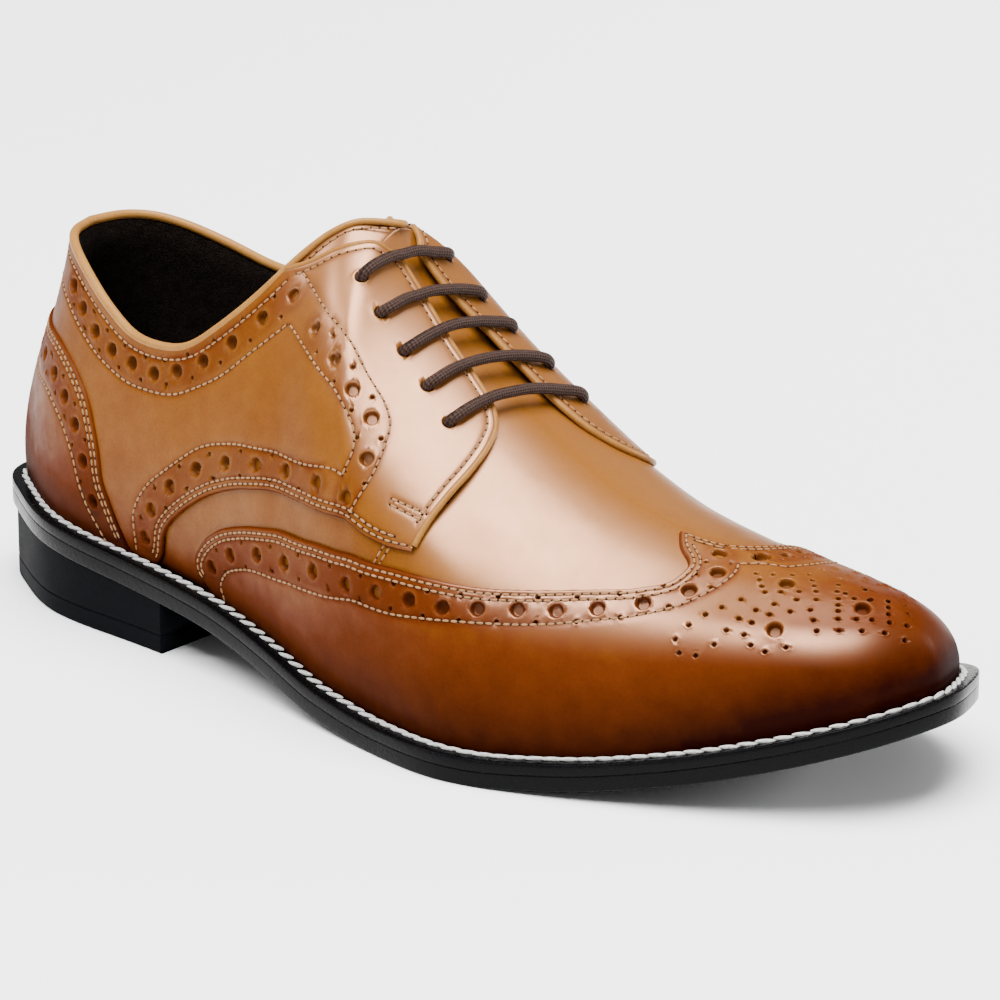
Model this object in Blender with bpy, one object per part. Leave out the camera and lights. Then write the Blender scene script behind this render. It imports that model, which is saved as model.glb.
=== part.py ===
"""A right derby wing-tip brogue shoe, built as closed solids in metres.

The toe points along +X, up is +Z, and the lateral (outer) side faces -Y. The origin is the
middle of the shoe's box on the floor. Sole pieces follow one plan outline. The upper, its
overlays and the tongue follow one surface of ribs, each rib a cubic curve from the welt up to
the topline or the ridge.
"""

import math

import bmesh
import bpy
import numpy as np

# Sizes of the sole, in metres.
SOLE_LENGTH = 0.304
BALL_WIDTH = 0.110
WAIST_WIDTH = 0.072
HEEL_WIDTH = 0.065
TOE_WIDTH = 0.068
HEEL_HEIGHT = 0.021
TOE_SPRING = 0.022
TOPLIFT_THICKNESS = 0.0050
OUTSOLE_THICKNESS = 0.0040
WELT_THICKNESS = 0.0025
WELT_SHOW = 0.0065
INSOLE_RISE = 0.0025
HEEL_BREAST = 0.0815
HEEL_INSET = 0.0012

# Sizes of the upper.
COLLAR_HEIGHT = 0.1006
ANKLE_HEIGHT = 0.0830
INSTEP_HEIGHT = 0.1180
VAMP_HEIGHT = 0.0610
TOE_HEIGHT = 0.0500
COLLAR_WIDTH = 0.0540
UPPER_WALL = 0.0020
OVERLAY_THICKNESS = 0.0012
THROAT_LENGTH = 0.0435
THROAT_WIDTH = 0.060
EYELET_DIAMETER = 0.0040

# Sizes of the tongue and the laces.
TONGUE_THICKNESS = 0.0016
TONGUE_DROP = 0.0042
TONGUE_WIDTH = 0.044
TONGUE_LENGTH = 0.074
LACE_DIAMETER = 0.0026
LACE_ARCH = 0.0028

GAP = 0.0003
LEATHER = (0.52, 0.23, 0.06, 1.0)
DARK_LEATHER = (0.20, 0.06, 0.025, 1.0)
SOLE_BLACK = (0.012, 0.012, 0.014, 1.0)
LINING = (0.035, 0.022, 0.018, 1.0)
LACE_BROWN = (0.06, 0.035, 0.028, 1.0)

# Half widths of the sole either side of the line through the heel. Each row: how far along
# the sole, the size that the widths are shares of, lateral share, medial share.
OUTLINE = (
    # at     width       lateral  medial
    (0.000, HEEL_WIDTH, -0.045, 0.045),
    (0.012, HEEL_WIDTH, 0.115, 0.210),
    (0.038, HEEL_WIDTH, 0.220, 0.320),
    (0.108, HEEL_WIDTH, 0.425, 0.460),
    (0.217, HEEL_WIDTH, 0.530, 0.475),
    (0.290, WAIST_WIDTH, 0.530, 0.395),
    (0.385, WAIST_WIDTH, 0.620, 0.385),
    (0.475, WAIST_WIDTH, 0.735, 0.430),
    (0.565, BALL_WIDTH, 0.545, 0.335),
    (0.640, BALL_WIDTH, 0.580, 0.385),
    (0.695, BALL_WIDTH, 0.555, 0.412),
    (0.750, BALL_WIDTH, 0.508, 0.422),
    (0.810, BALL_WIDTH, 0.448, 0.414),
    (0.870, BALL_WIDTH, 0.382, 0.384),
    (0.930, TOE_WIDTH, 0.480, 0.515),
    (0.970, TOE_WIDTH, 0.340, 0.345),
    (0.991, TOE_WIDTH, 0.190, 0.145),
    (1.000, TOE_WIDTH, 0.030, -0.030),
)

# Height of the outsole's underside: how far along, the size it is a share of, the share.
UNDERSIDE = (
    # at    height       share
    (0.000, HEEL_HEIGHT, 1.000),
    (0.120, HEEL_HEIGHT, 0.880),
    (0.235, HEEL_HEIGHT, 0.730),
    (0.325, HEEL_HEIGHT, 0.600),
    (0.410, HEEL_HEIGHT, 0.360),
    (0.490, HEEL_HEIGHT, 0.105),
    (0.570, HEEL_HEIGHT, 0.000),
    (0.660, TOE_SPRING, 0.000),
    (0.740, TOE_SPRING, 0.077),
    (0.820, TOE_SPRING, 0.264),
    (0.900, TOE_SPRING, 0.550),
    (1.000, TOE_SPRING, 1.000),
)

# Ribs of the upper, a row per section. "at" is the share of the outline's side, from the
# heel's back to the toe's tip, where the rib starts. x is a share of SOLE_LENGTH, y of
# COLLAR_WIDTH and z of the height beside it: the rib's top end. out1 and up1 place the lower
# handle, out2 and down2 the upper one, as shares of the rib's rise, and turn is the angle in
# degrees of the upper handle from square across the shoe. From CORNER on both sides share
# their top ends, which make the ridge.
CORNER = 0.53
COLLAR_LATERAL = (
    # at    x      y       height         z      out1  up1   out2  down2 turn
    (0.00, 0.084, 0.056, COLLAR_HEIGHT, 1.000, 0.05, 0.34, 0.04, 0.30, 90),
    (0.05, 0.093, -0.111, COLLAR_HEIGHT, 0.997, 0.05, 0.34, 0.04, 0.30, 60),
    (0.10, 0.115, -0.250, COLLAR_HEIGHT, 0.979, 0.08, 0.35, 0.05, 0.30, 38),
    (0.15, 0.148, -0.357, COLLAR_HEIGHT, 0.930, 0.10, 0.35, 0.05, 0.32, 20),
    (0.20, 0.185, -0.441, ANKLE_HEIGHT, 1.053, 0.12, 0.34, 0.05, 0.34, 8),
    (0.25, 0.229, -0.500, ANKLE_HEIGHT, 0.992, 0.12, 0.32, 0.05, 0.36, 3),
    (0.30, 0.275, -0.519, ANKLE_HEIGHT, 1.005, 0.12, 0.32, 0.06, 0.38, 0),
    (0.35, 0.319, -0.504, ANKLE_HEIGHT, 1.096, 0.12, 0.32, 0.08, 0.38, 0),
    (0.40, 0.359, -0.456, INSTEP_HEIGHT, 0.858, 0.12, 0.32, 0.12, 0.36, 0),
    (0.45, 0.393, -0.333, INSTEP_HEIGHT, 0.956, 0.10, 0.34, 0.17, 0.28, 0),
    (0.50, 0.423, -0.176, INSTEP_HEIGHT, 1.008, 0.10, 0.36, 0.24, 0.12, 0),
    (0.53, 0.441, -0.074, INSTEP_HEIGHT, 0.992, 0.10, 0.38, 0.28, 0.02, 0),
)
COLLAR_MEDIAL = (
    # at    x      y       height         z      out1  up1   out2  down2 turn
    (0.00, 0.084, 0.056, COLLAR_HEIGHT, 1.000, 0.05, 0.34, 0.04, 0.30, 90),
    (0.05, 0.089, 0.215, COLLAR_HEIGHT, 1.000, 0.05, 0.34, 0.04, 0.30, 60),
    (0.10, 0.106, 0.357, COLLAR_HEIGHT, 0.992, 0.08, 0.35, 0.05, 0.30, 38),
    (0.15, 0.140, 0.454, COLLAR_HEIGHT, 0.964, 0.10, 0.35, 0.05, 0.32, 20),
    (0.20, 0.184, 0.494, ANKLE_HEIGHT, 1.123, 0.12, 0.34, 0.05, 0.34, 8),
    (0.25, 0.229, 0.500, ANKLE_HEIGHT, 1.089, 0.12, 0.32, 0.05, 0.36, 3),
    (0.30, 0.275, 0.481, ANKLE_HEIGHT, 1.087, 0.10, 0.32, 0.06, 0.38, 0),
    (0.35, 0.319, 0.441, ANKLE_HEIGHT, 1.139, 0.08, 0.32, 0.07, 0.38, 0),
    (0.40, 0.359, 0.367, INSTEP_HEIGHT, 0.875, 0.08, 0.32, 0.08, 0.36, 0),
    (0.45, 0.393, 0.215, INSTEP_HEIGHT, 0.958, 0.08, 0.34, 0.13, 0.28, 0),
    (0.50, 0.423, 0.037, INSTEP_HEIGHT, 1.008, 0.08, 0.36, 0.20, 0.12, 0),
    (0.53, 0.441, -0.074, INSTEP_HEIGHT, 0.992, 0.08, 0.38, 0.26, 0.02, 0),
)
RIDGE = (
    # at    x      y       height         z
    (0.55, 0.467, -0.074, INSTEP_HEIGHT, 0.904),
    (0.58, 0.516, -0.083, INSTEP_HEIGHT, 0.794),
    (0.61, 0.566, -0.096, INSTEP_HEIGHT, 0.698),
    (0.64, 0.613, -0.111, INSTEP_HEIGHT, 0.615),
    (0.67, 0.655, -0.126, VAMP_HEIGHT, 1.082),
    (0.70, 0.694, -0.144, VAMP_HEIGHT, 1.003),
    (0.75, 0.753, -0.159, VAMP_HEIGHT, 0.933),
    (0.80, 0.804, -0.159, TOE_HEIGHT, 1.082),
    (0.85, 0.849, -0.148, TOE_HEIGHT, 1.042),
    (0.90, 0.883, -0.126, TOE_HEIGHT, 1.018),
    (0.95, 0.908, -0.100, TOE_HEIGHT, 1.002),
    (1.00, 0.921, -0.085, TOE_HEIGHT, 0.992),
)
FRONT_LATERAL = (
    # out1 up1  out2  down2 turn
    (0.10, 0.40, 0.32, 0.00, 0),
    (0.09, 0.42, 0.37, 0.00, 0),
    (0.08, 0.45, 0.43, 0.00, 0),
    (0.07, 0.48, 0.50, 0.00, 0),
    (0.06, 0.50, 0.56, 0.00, 0),
    (0.05, 0.52, 0.60, 0.00, 0),
    (0.05, 0.53, 0.62, 0.00, 2),
    (0.05, 0.54, 0.62, 0.00, 9),
    (0.06, 0.55, 0.58, 0.00, 22),
    (0.08, 0.56, 0.54, 0.00, 42),
    (0.10, 0.56, 0.51, 0.00, 66),
    (0.14, 0.56, 0.48, 0.00, 90),
)
FRONT_MEDIAL = (
    # out1 up1  out2  down2 turn
    (0.07, 0.40, 0.33, 0.00, 0),
    (0.06, 0.42, 0.40, 0.00, 0),
    (0.05, 0.45, 0.48, 0.00, 0),
    (0.05, 0.48, 0.54, 0.00, 0),
    (0.04, 0.50, 0.58, 0.00, 0),
    (0.04, 0.52, 0.60, 0.00, 0),
    (0.04, 0.53, 0.62, 0.00, 2),
    (0.04, 0.54, 0.62, 0.00, 9),
    (0.06, 0.55, 0.60, 0.00, 22),
    (0.08, 0.56, 0.57, 0.00, 42),
    (0.12, 0.56, 0.52, 0.00, 66),
    (0.14, 0.56, 0.48, 0.00, 90),
)

# Overlays on the surface of ribs. A row is a line across the piece, from its lower edge to
# its upper one: u is the share along the side, v the share of the rib, 0 at the welt.
EDGE = 0.015
WING_ROWS = (
    # low u  low v  high u high v
    (0.312, EDGE, 0.312, 0.060),
    (0.316, EDGE, 0.314, 0.142),
    (0.328, EDGE, 0.327, 0.224),
    (0.352, EDGE, 0.352, 0.303),
    (0.387, EDGE, 0.387, 0.347),
    (0.431, EDGE, 0.431, 0.349),
    (0.483, EDGE, 0.483, 0.313),
    (0.530, EDGE, 0.530, 0.295),
    (0.582, EDGE, 0.582, 0.347),
    (0.633, EDGE, 0.633, 0.413),
    (0.682, EDGE, 0.680, 0.493),
    (0.722, EDGE, 0.725, 0.577),
    (0.748, EDGE, 0.754, 0.635),
    (0.766, EDGE, 0.774, 0.707),
    (0.780, EDGE, 0.779, 0.796),
    (0.796, EDGE, 0.763, 0.890),
    (0.812, EDGE, 0.755, 0.955),
    (0.828, EDGE, 0.785, 1.000),
    (0.870, EDGE, 0.850, 1.000),
    (0.930, EDGE, 0.925, 1.000),
    (1.000, EDGE, 1.000, 1.000),
)
COUNTER_ROWS = (
    # low u  low v  high u high v
    (0.000, EDGE, 0.000, 0.655),
    (0.070, EDGE, 0.070, 0.658),
    (0.125, EDGE, 0.134, 0.660),
    (0.160, EDGE, 0.170, 0.637),
    (0.180, EDGE, 0.189, 0.589),
    (0.195, EDGE, 0.201, 0.509),
    (0.206, EDGE, 0.209, 0.413),
    (0.215, EDGE, 0.214, 0.299),
    (0.223, EDGE, 0.221, 0.200),
    (0.231, EDGE, 0.229, 0.080),
)
OVERHANG = 1.03
QUARTER_ROWS = (
    # low u  low v  high u high v
    (0.134, 0.660, 0.100, OVERHANG),
    (0.170, 0.637, 0.160, OVERHANG),
    (0.189, 0.589, 0.190, OVERHANG),
    (0.201, 0.509, 0.215, OVERHANG),
    (0.209, 0.413, 0.235, OVERHANG),
    (0.214, 0.299, 0.255, OVERHANG),
    (0.221, 0.200, 0.275, OVERHANG),
    (0.229, 0.080, 0.290, OVERHANG),
    (0.235, EDGE, 0.300, OVERHANG),
    (0.266, EDGE, 0.315, OVERHANG),
    (0.278, 0.140, 0.330, OVERHANG),
    (0.291, 0.250, 0.345, OVERHANG),
    (0.312, 0.345, 0.360, OVERHANG),
    (0.342, 0.421, 0.380, OVERHANG),
    (0.380, 0.457, 0.400, OVERHANG),
    (0.416, 0.451, 0.425, OVERHANG),
    (0.451, 0.419, 0.452, 0.945),
    (0.478, 0.388, 0.487, 0.906),
    (0.502, 0.363, 0.519, 0.896),
    (0.520, 0.352, 0.548, 0.950),
    (0.536, 0.350, 0.582, 0.926),
    (0.548, 0.352, 0.612, 0.895),
    (0.560, 0.364, 0.624, 0.800),
    (0.570, 0.375, 0.620, 0.680),
    (0.578, 0.384, 0.610, 0.570),
    (0.585, 0.392, 0.600, 0.485),
    (0.588, 0.396, 0.593, 0.425),
)
EYELETS = (
    # u     v
    (0.532, 0.788),
    (0.549, 0.788),
    (0.567, 0.776),
    (0.584, 0.762),
    (0.601, 0.737),
)

# How finely the sheets are divided.
STATIONS = 38
RIB_STEPS = 11
SOLE_STATIONS = 36
LATERAL = -1
MEDIAL = 1


def clear_scene():
    for obj in list(bpy.data.objects):
        bpy.data.objects.remove(obj, do_unlink=True)


def collection(name, hidden=False):
    made = bpy.data.collections.new(name)
    bpy.context.scene.collection.children.link(made)
    made.hide_render = hidden
    return made


def material(name, colour, roughness):
    made = bpy.data.materials.new(name)
    made.use_nodes = True
    shader = made.node_tree.nodes["Principled BSDF"]
    shader.inputs["Base Color"].default_value = colour
    shader.inputs["Roughness"].default_value = roughness
    return made


def steady(xs, ys):
    """A curve through the points that never swings past them."""
    xs = np.asarray(xs, float)
    ys = np.asarray(ys, float)
    step = np.diff(xs)
    rise = np.diff(ys) / step
    slope = np.zeros_like(ys)
    slope[0] = rise[0]
    slope[-1] = rise[-1]
    for i in range(1, len(xs) - 1):
        if rise[i - 1] * rise[i] > 0:
            before = 2 * step[i] + step[i - 1]
            after = step[i] + 2 * step[i - 1]
            slope[i] = (before + after) / (before / rise[i - 1] + after / rise[i])

    def value(x):
        x = np.asarray(x, float)
        k = np.clip(np.searchsorted(xs, x, side="right") - 1, 0, len(xs) - 2)
        t = (x - xs[k]) / step[k]
        start = (1 + 2 * t) * (1 - t) ** 2 * ys[k] + t * (1 - t) ** 2 * step[k] * slope[k]
        end = t * t * (3 - 2 * t) * ys[k + 1] + t * t * (t - 1) * step[k] * slope[k + 1]
        return start + end

    return value


def round_spline(points):
    """A smooth closed curve through plan points, by distance along its chords."""
    points = np.asarray(points, float)
    count = len(points)
    ring = np.vstack([points, points[:1]])
    chord = np.linalg.norm(np.diff(ring, axis=0), axis=1)
    knots = np.concatenate([[0.0], np.cumsum(chord)])
    system = np.zeros((count, count))
    right = np.zeros_like(points)
    for i in range(count):
        before = chord[i - 1]
        after = chord[i]
        system[i, (i - 1) % count] += before
        system[i, i] += 2 * (before + after)
        system[i, (i + 1) % count] += after
        ahead = (ring[i + 1] - points[i]) / after
        behind = (points[i] - points[i - 1]) / before
        right[i] = 6 * (ahead - behind)
    bend = np.linalg.solve(system, right)
    bend = np.vstack([bend, bend[:1]])

    def value(t):
        t = np.mod(np.asarray(t, float), knots[-1])
        k = np.clip(np.searchsorted(knots, t, side="right") - 1, 0, count - 1)
        a = ((knots[k + 1] - t) / chord[k])[..., None]
        b = ((t - knots[k]) / chord[k])[..., None]
        sixth = (chord[k] ** 2)[..., None] / 6
        bent = ((a**3 - a) * bend[k] + (b**3 - b) * bend[k + 1]) * sixth
        return a * ring[k] + b * ring[k + 1] + bent

    return value, knots


def outline_curve():
    """The sole's plan outline, with its length and the place of the toe's tip on it."""
    lateral = [(at * SOLE_LENGTH, -width * low) for at, width, low, _ in OUTLINE]
    medial = [(at * SOLE_LENGTH, width * high) for at, width, _, high in OUTLINE]
    curve, knots = round_spline(lateral + medial[1:-1][::-1])
    return curve, knots[-1], knots[len(lateral) - 1]


OUTLINE_AT, OUTLINE_END, TIP_AT = outline_curve()


def outline(u, side):
    """The outline's point and outward direction at share u of one side."""
    u = np.asarray(u, float)
    t = np.where(side < 0, u * TIP_AT, OUTLINE_END - u * (OUTLINE_END - TIP_AT))
    step = 1e-4
    along = OUTLINE_AT(t + step) - OUTLINE_AT(t - step)
    along /= np.linalg.norm(along, axis=-1, keepdims=True)
    return OUTLINE_AT(t), np.stack([along[..., 1], -along[..., 0]], -1)


def plan_middle():
    ring = OUTLINE_AT(np.linspace(0, OUTLINE_END, 2000))
    return (ring.min(axis=0) + ring.max(axis=0)) / 2


MIDDLE = plan_middle()
underside = steady(
    [row[0] * SOLE_LENGTH for row in UNDERSIDE], [row[1] * row[2] for row in UNDERSIDE]
)
SOLE_STACK = OUTSOLE_THICKNESS + GAP + WELT_THICKNESS


def rib_columns(collar, front):
    rows = [
        (at, x * SOLE_LENGTH, y * COLLAR_WIDTH, z * height, *handles)
        for at, x, y, height, z, *handles in collar
    ]
    for (at, x, y, height, z), handles in zip(RIDGE, front):
        rows.append((at, x * SOLE_LENGTH, y * COLLAR_WIDTH, z * height, *handles))
    table = np.array(rows, float)
    return [steady(table[:, 0], table[:, k]) for k in range(1, table.shape[1])]


RIBS = {
    LATERAL: rib_columns(COLLAR_LATERAL, FRONT_LATERAL),
    MEDIAL: rib_columns(COLLAR_MEDIAL, FRONT_MEDIAL),
}


def rib_handles(u, side):
    """The four control points of the rib at share u of one side."""
    foot, outward = outline(u, side)
    foot = foot - outward * WELT_SHOW
    floor = underside(foot[..., 0]) + SOLE_STACK + GAP
    x, y, z, out1, up1, out2, down2, turn = [column(u) for column in RIBS[side]]
    up = np.array([0.0, 0.0, 1.0])
    rise = (z - floor)[..., None]
    low = np.concatenate([foot, floor[..., None]], -1)
    top = np.stack([x, y, z], -1)
    outward = np.concatenate([outward, np.zeros_like(floor)[..., None]], -1)
    turn = np.radians(turn)
    forward = np.where(u < CORNER, -1.0, 1.0) * np.sin(turn)
    # On the ridge the handle stays in the plane that holds the ridge's slope.
    step = 1e-3
    ahead = np.clip(u + step, 0, 1)
    behind = np.clip(u - step, 0, 1)
    run = RIBS[side][0](ahead) - RIBS[side][0](behind)
    drop = RIBS[side][2](ahead) - RIBS[side][2](behind)
    slope = np.clip(drop / np.where(np.abs(run) > 1e-9, run, 1.0), -0.9, 0.9)
    slope = slope * (u > RIDGE[5][0])
    across = np.stack([forward, side * np.cos(turn), forward * slope], -1)
    low_handle = low + outward * out1[..., None] * rise + up * up1[..., None] * rise
    top_handle = top + across * out2[..., None] * rise - up * down2[..., None] * rise
    return low, low_handle, top_handle, top


def rib_point(u, v, side):
    a, b, c, d = rib_handles(u, side)
    w = v[..., None]
    return (1 - w) ** 3 * a + 3 * (1 - w) ** 2 * w * b + 3 * (1 - w) * w * w * c + w**3 * d


def mirrored_point(u, v, side):
    """The point at u, carried on round the heel or the toe where u leaves 0 to 1."""
    inside = rib_point(np.clip(u, 0, 1), v, side)
    folded = np.where(u < 0, -u, np.where(u > 1, 2 - u, u))
    over = ((u < 0) | (u > 1))[..., None]
    return np.where(over, rib_point(folded, v, -side), inside)


def surface(u, v, side, offset):
    """A point of the upper's surface, moved outwards by the offset."""
    u = np.asarray(u, float)
    v = np.asarray(v, float)
    a, b, c, d = rib_handles(u, side)
    w = np.clip(v, 0, 1)[..., None]
    up_rib = (1 - w) ** 2 * (b - a) + 2 * (1 - w) * w * (c - b) + w * w * (d - c)
    step = 1e-3
    # At the toe's end of the ridge both sides meet, so the direction is read just below it.
    level = np.where(u > 1 - step, np.minimum(w[..., 0], 0.99), w[..., 0])
    along = mirrored_point(u + step, level, side) - mirrored_point(u - step, level, side)
    out = np.cross(along, up_rib) * -side
    out /= np.linalg.norm(out, axis=-1, keepdims=True)
    return rib_point(u, v, side) + out * offset


def part_frame(points):
    points = np.array(points, float)
    points[..., 0] -= MIDDLE[0]
    points[..., 1] -= MIDDLE[1]
    return points


def add_mesh(name, points, faces, group, look):
    mesh = bpy.data.meshes.new(name)
    mesh.from_pydata([tuple(point) for point in points], [], faces)
    shape = bmesh.new()
    shape.from_mesh(mesh)
    # Triangles stay flat where a cut crosses them, and bent quads don't.
    bmesh.ops.triangulate(shape, faces=shape.faces)
    bmesh.ops.recalc_face_normals(shape, faces=shape.faces)
    if shape.calc_volume(signed=True) < 0:
        bmesh.ops.reverse_faces(shape, faces=shape.faces)
    shape.to_mesh(mesh)
    shape.free()
    if look:
        mesh.materials.append(look)
    obj = bpy.data.objects.new(name, mesh)
    group.objects.link(obj)
    return obj


def thick_sheet(name, top, bottom, cells, group, look):
    """A closed solid between two sheets that share one net of cells."""
    top = part_frame(top)
    bottom = part_frame(bottom)
    first = {}
    kept = []
    index = []
    for i, point in enumerate(top):
        key = tuple(np.round(point * 1e5).astype(int))
        if key not in first:
            first[key] = len(kept)
            kept.append(i)
        index.append(first[key])
    count = len(kept)
    faces = []
    edges = {}
    for cell in cells:
        corners = []
        for corner in (index[i] for i in cell):
            if corner not in corners:
                corners.append(corner)
        if len(corners) < 3:
            continue
        faces.append(tuple(corners))
        faces.append(tuple(corner + count for corner in reversed(corners)))
        for one, two in zip(corners, corners[1:] + corners[:1]):
            edges[(one, two)] = True
    for one, two in edges:
        if (two, one) not in edges:
            faces.append((two, one, one + count, two + count))
    points = np.concatenate([top[kept], bottom[kept]])
    return add_mesh(name, points, faces, group, look)


def net(columns, rows, closed=False):
    """Cells of a net whose points run down each column in turn."""
    last = columns if closed else columns - 1
    return [
        (
            i * rows + j,
            (i + 1) % columns * rows + j,
            (i + 1) % columns * rows + j + 1,
            i * rows + j + 1,
        )
        for i in range(last)
        for j in range(rows - 1)
    ]


def sole_plate(name, inset, low, high, group, look, end=None):
    """A plate of the sole. low and high give its two heights from a distance along it."""
    shares = {}
    for side in (LATERAL, MEDIAL):
        last = 1.0
        if end:
            fine = np.linspace(0, 0.6, 2401)
            reach = (outline(fine, side)[0] - outline(fine, side)[1] * inset)[:, 0]
            last = float(np.interp(end, reach, fine))
        shares[side] = np.linspace(0, last, SOLE_STATIONS if not end else SOLE_STATIONS // 2)
    edge = {}
    for side in (LATERAL, MEDIAL):
        point, outward = outline(shares[side], side)
        edge[side] = point - outward * inset
        if end:
            edge[side][-1, 0] = end
    rungs = 4
    plan = []
    for left, right in zip(edge[LATERAL], edge[MEDIAL]):
        plan += [left + (right - left) * k / (rungs - 1) for k in range(rungs)]
    plan = np.array(plan)
    top = np.column_stack([plan, high(plan[:, 0])])
    bottom = np.column_stack([plan, low(plan[:, 0])])
    return thick_sheet(name, top, bottom, net(len(edge[LATERAL]), rungs), group, look)


def build_heel(group, rubber, stack):
    build = (
        ("heel_toplift", lambda x: 0 * x, lambda x: 0 * x + TOPLIFT_THICKNESS, rubber),
        (
            "heel_stack",
            lambda x: 0 * x + TOPLIFT_THICKNESS + GAP,
            lambda x: underside(x) - GAP,
            stack,
        ),
    )
    for name, low, high, look in build:
        sole_plate(name, HEEL_INSET, low, high, group, look, end=HEEL_BREAST)


def build_sole(group, black, board):
    welt_floor = OUTSOLE_THICKNESS + GAP
    sole_plate(
        "outsole", 0.0, underside, lambda x: underside(x) + OUTSOLE_THICKNESS, group, black
    )
    sole_plate(
        "insole",
        WELT_SHOW + UPPER_WALL + GAP,
        lambda x: underside(x) + welt_floor,
        lambda x: underside(x) + SOLE_STACK + INSOLE_RISE,
        group,
        board,
    )
    t = np.linspace(0, 1, SOLE_STATIONS)
    outer = []
    inner = []
    for side, shares in ((LATERAL, t[:-1]), (MEDIAL, t[:0:-1])):
        point, outward = outline(shares, side)
        outer.append(point)
        inner.append(point - outward * (WELT_SHOW + UPPER_WALL))
    ring = np.stack([np.concatenate(outer), np.concatenate(inner)], 1).reshape(-1, 2)
    floor = underside(ring[:, 0]) + welt_floor
    bottom = np.column_stack([ring, floor])
    top = np.column_stack([ring, floor + WELT_THICKNESS])
    cells = net(len(ring) // 2, 2, closed=True)
    thick_sheet("welt", top, bottom, cells, group, black)


def shell(name, inner, outer, group, look):
    """The whole closed form of the upper between two offsets of its surface."""
    shares = np.linspace(0, 1, STATIONS)
    sides = [(u, LATERAL) for u in shares[:-1]] + [(u, MEDIAL) for u in shares[:0:-1]]
    steps = np.linspace(0, 1, RIB_STEPS)
    steps = steps + 0.12 * np.sin(math.pi * steps) * steps
    sheets = []
    for offset in (outer, inner):
        columns = []
        for u, side in sides:
            column = surface(np.full(RIB_STEPS, u), steps, side, offset)
            columns.append(column)
        sheets.append(np.concatenate(columns))
    cells = net(len(sides), RIB_STEPS, closed=True)
    return thick_sheet(name, sheets[0], sheets[1], cells, group, look)


def patch(name, rows, sides, low, high, group, steps=6):
    """A cutter: the piece of the surface that the rows span, between two offsets."""
    table = np.array(rows, float)
    knots = np.arange(len(table))
    columns = [steady(knots, table[:, k]) for k in range(4)]
    t = np.linspace(0, len(table) - 1, 2 * len(table) - 1)
    low_u, low_v, high_u, high_v = [column(t)[:, None] for column in columns]
    share = np.linspace(0, 1, steps)[None, :]
    u = low_u + (high_u - low_u) * share
    v = low_v + (high_v - low_v) * share
    tops = []
    bottoms = []
    cells = []
    for side in sides:
        start = len(tops) * u.size
        tops.append(surface(u, v, side, high).reshape(-1, 3))
        bottoms.append(surface(u, v, side, low).reshape(-1, 3))
        for cell in net(len(t), steps):
            corners = [start + i for i in cell]
            cells.append(corners if side == LATERAL else corners[::-1])
    return thick_sheet(name, np.concatenate(tops), np.concatenate(bottoms), cells, group, None)


def prism(name, plan, low, high, group):
    """A cutter: an upright prism on plan points of the heel-back frame."""
    plan = np.array(plan, float)
    count = len(plan)
    bottom = np.column_stack([plan, np.full(count, low)])
    top = np.column_stack([plan, np.full(count, high)])
    faces = [tuple(range(count)), tuple(range(2 * count - 1, count - 1, -1))]
    faces += [(i, i + count, (i + 1) % count + count, (i + 1) % count) for i in range(count)]
    return add_mesh(name, part_frame(np.concatenate([bottom, top])), faces, group, None)


def cut(obj, cutter, operation):
    step = obj.modifiers.new(f"{operation.lower()} {cutter.name}", "BOOLEAN")
    step.operation = operation
    step.solver = "EXACT"
    step.object = cutter


def ridge_point(u):
    return np.array([float(column(u)) for column in RIBS[LATERAL][:3]])


def ridge_height(x):
    """Height of the ridge at a distance along the shoe."""
    shares = np.linspace(CORNER, 1, 100)
    return float(np.interp(x, RIBS[LATERAL][0](shares), RIBS[LATERAL][2](shares)))


def corner_x():
    """How far along the shoe the top of the throat lies."""
    return float(ridge_point(CORNER)[0])


def throat_plan(half, length):
    """Plan points either side of the ridge, from behind the collar's front to the length."""
    back = corner_x() - 0.014
    front = corner_x() + length
    middle = ridge_point(0.60)[1]
    return (
        (back, middle - half),
        (front - half / 8, middle - half),
        (front, middle - half * 0.75),
        (front, middle + half * 0.75),
        (front - half / 8, middle + half),
        (back, middle + half),
    )


def build_upper(group, helpers, leather):
    upper = shell("upper", -UPPER_WALL, 0.0, group, leather)
    plan = throat_plan(THROAT_WIDTH / 2, THROAT_LENGTH)
    cutter = prism("throat_cutter", plan, VAMP_HEIGHT / 2, 2 * INSTEP_HEIGHT, helpers)
    cut(upper, cutter, "DIFFERENCE")


def build_tongue(group, helpers, leather):
    top = -TONGUE_DROP
    tongue = shell("tongue", top - TONGUE_THICKNESS, top, group, leather)
    plan = throat_plan(TONGUE_WIDTH / 2, TONGUE_LENGTH)
    cutter = prism("tongue_cutter", plan, VAMP_HEIGHT / 2, 2 * INSTEP_HEIGHT, helpers)
    cut(tongue, cutter, "INTERSECT")


def overlay(name, cutter, group, look):
    piece = shell(name, GAP, GAP + OVERLAY_THICKNESS, group, look)
    cut(piece, cutter, "INTERSECT")
    return piece


def eyelet(u_v, side):
    """The middle of an eyelet on the surface and the direction out of it."""
    u, v = (np.array([value]) for value in u_v)
    point = surface(u, v, side, 0.0)[0]
    return point, (surface(u, v, side, 0.001)[0] - point) * 1000


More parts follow.
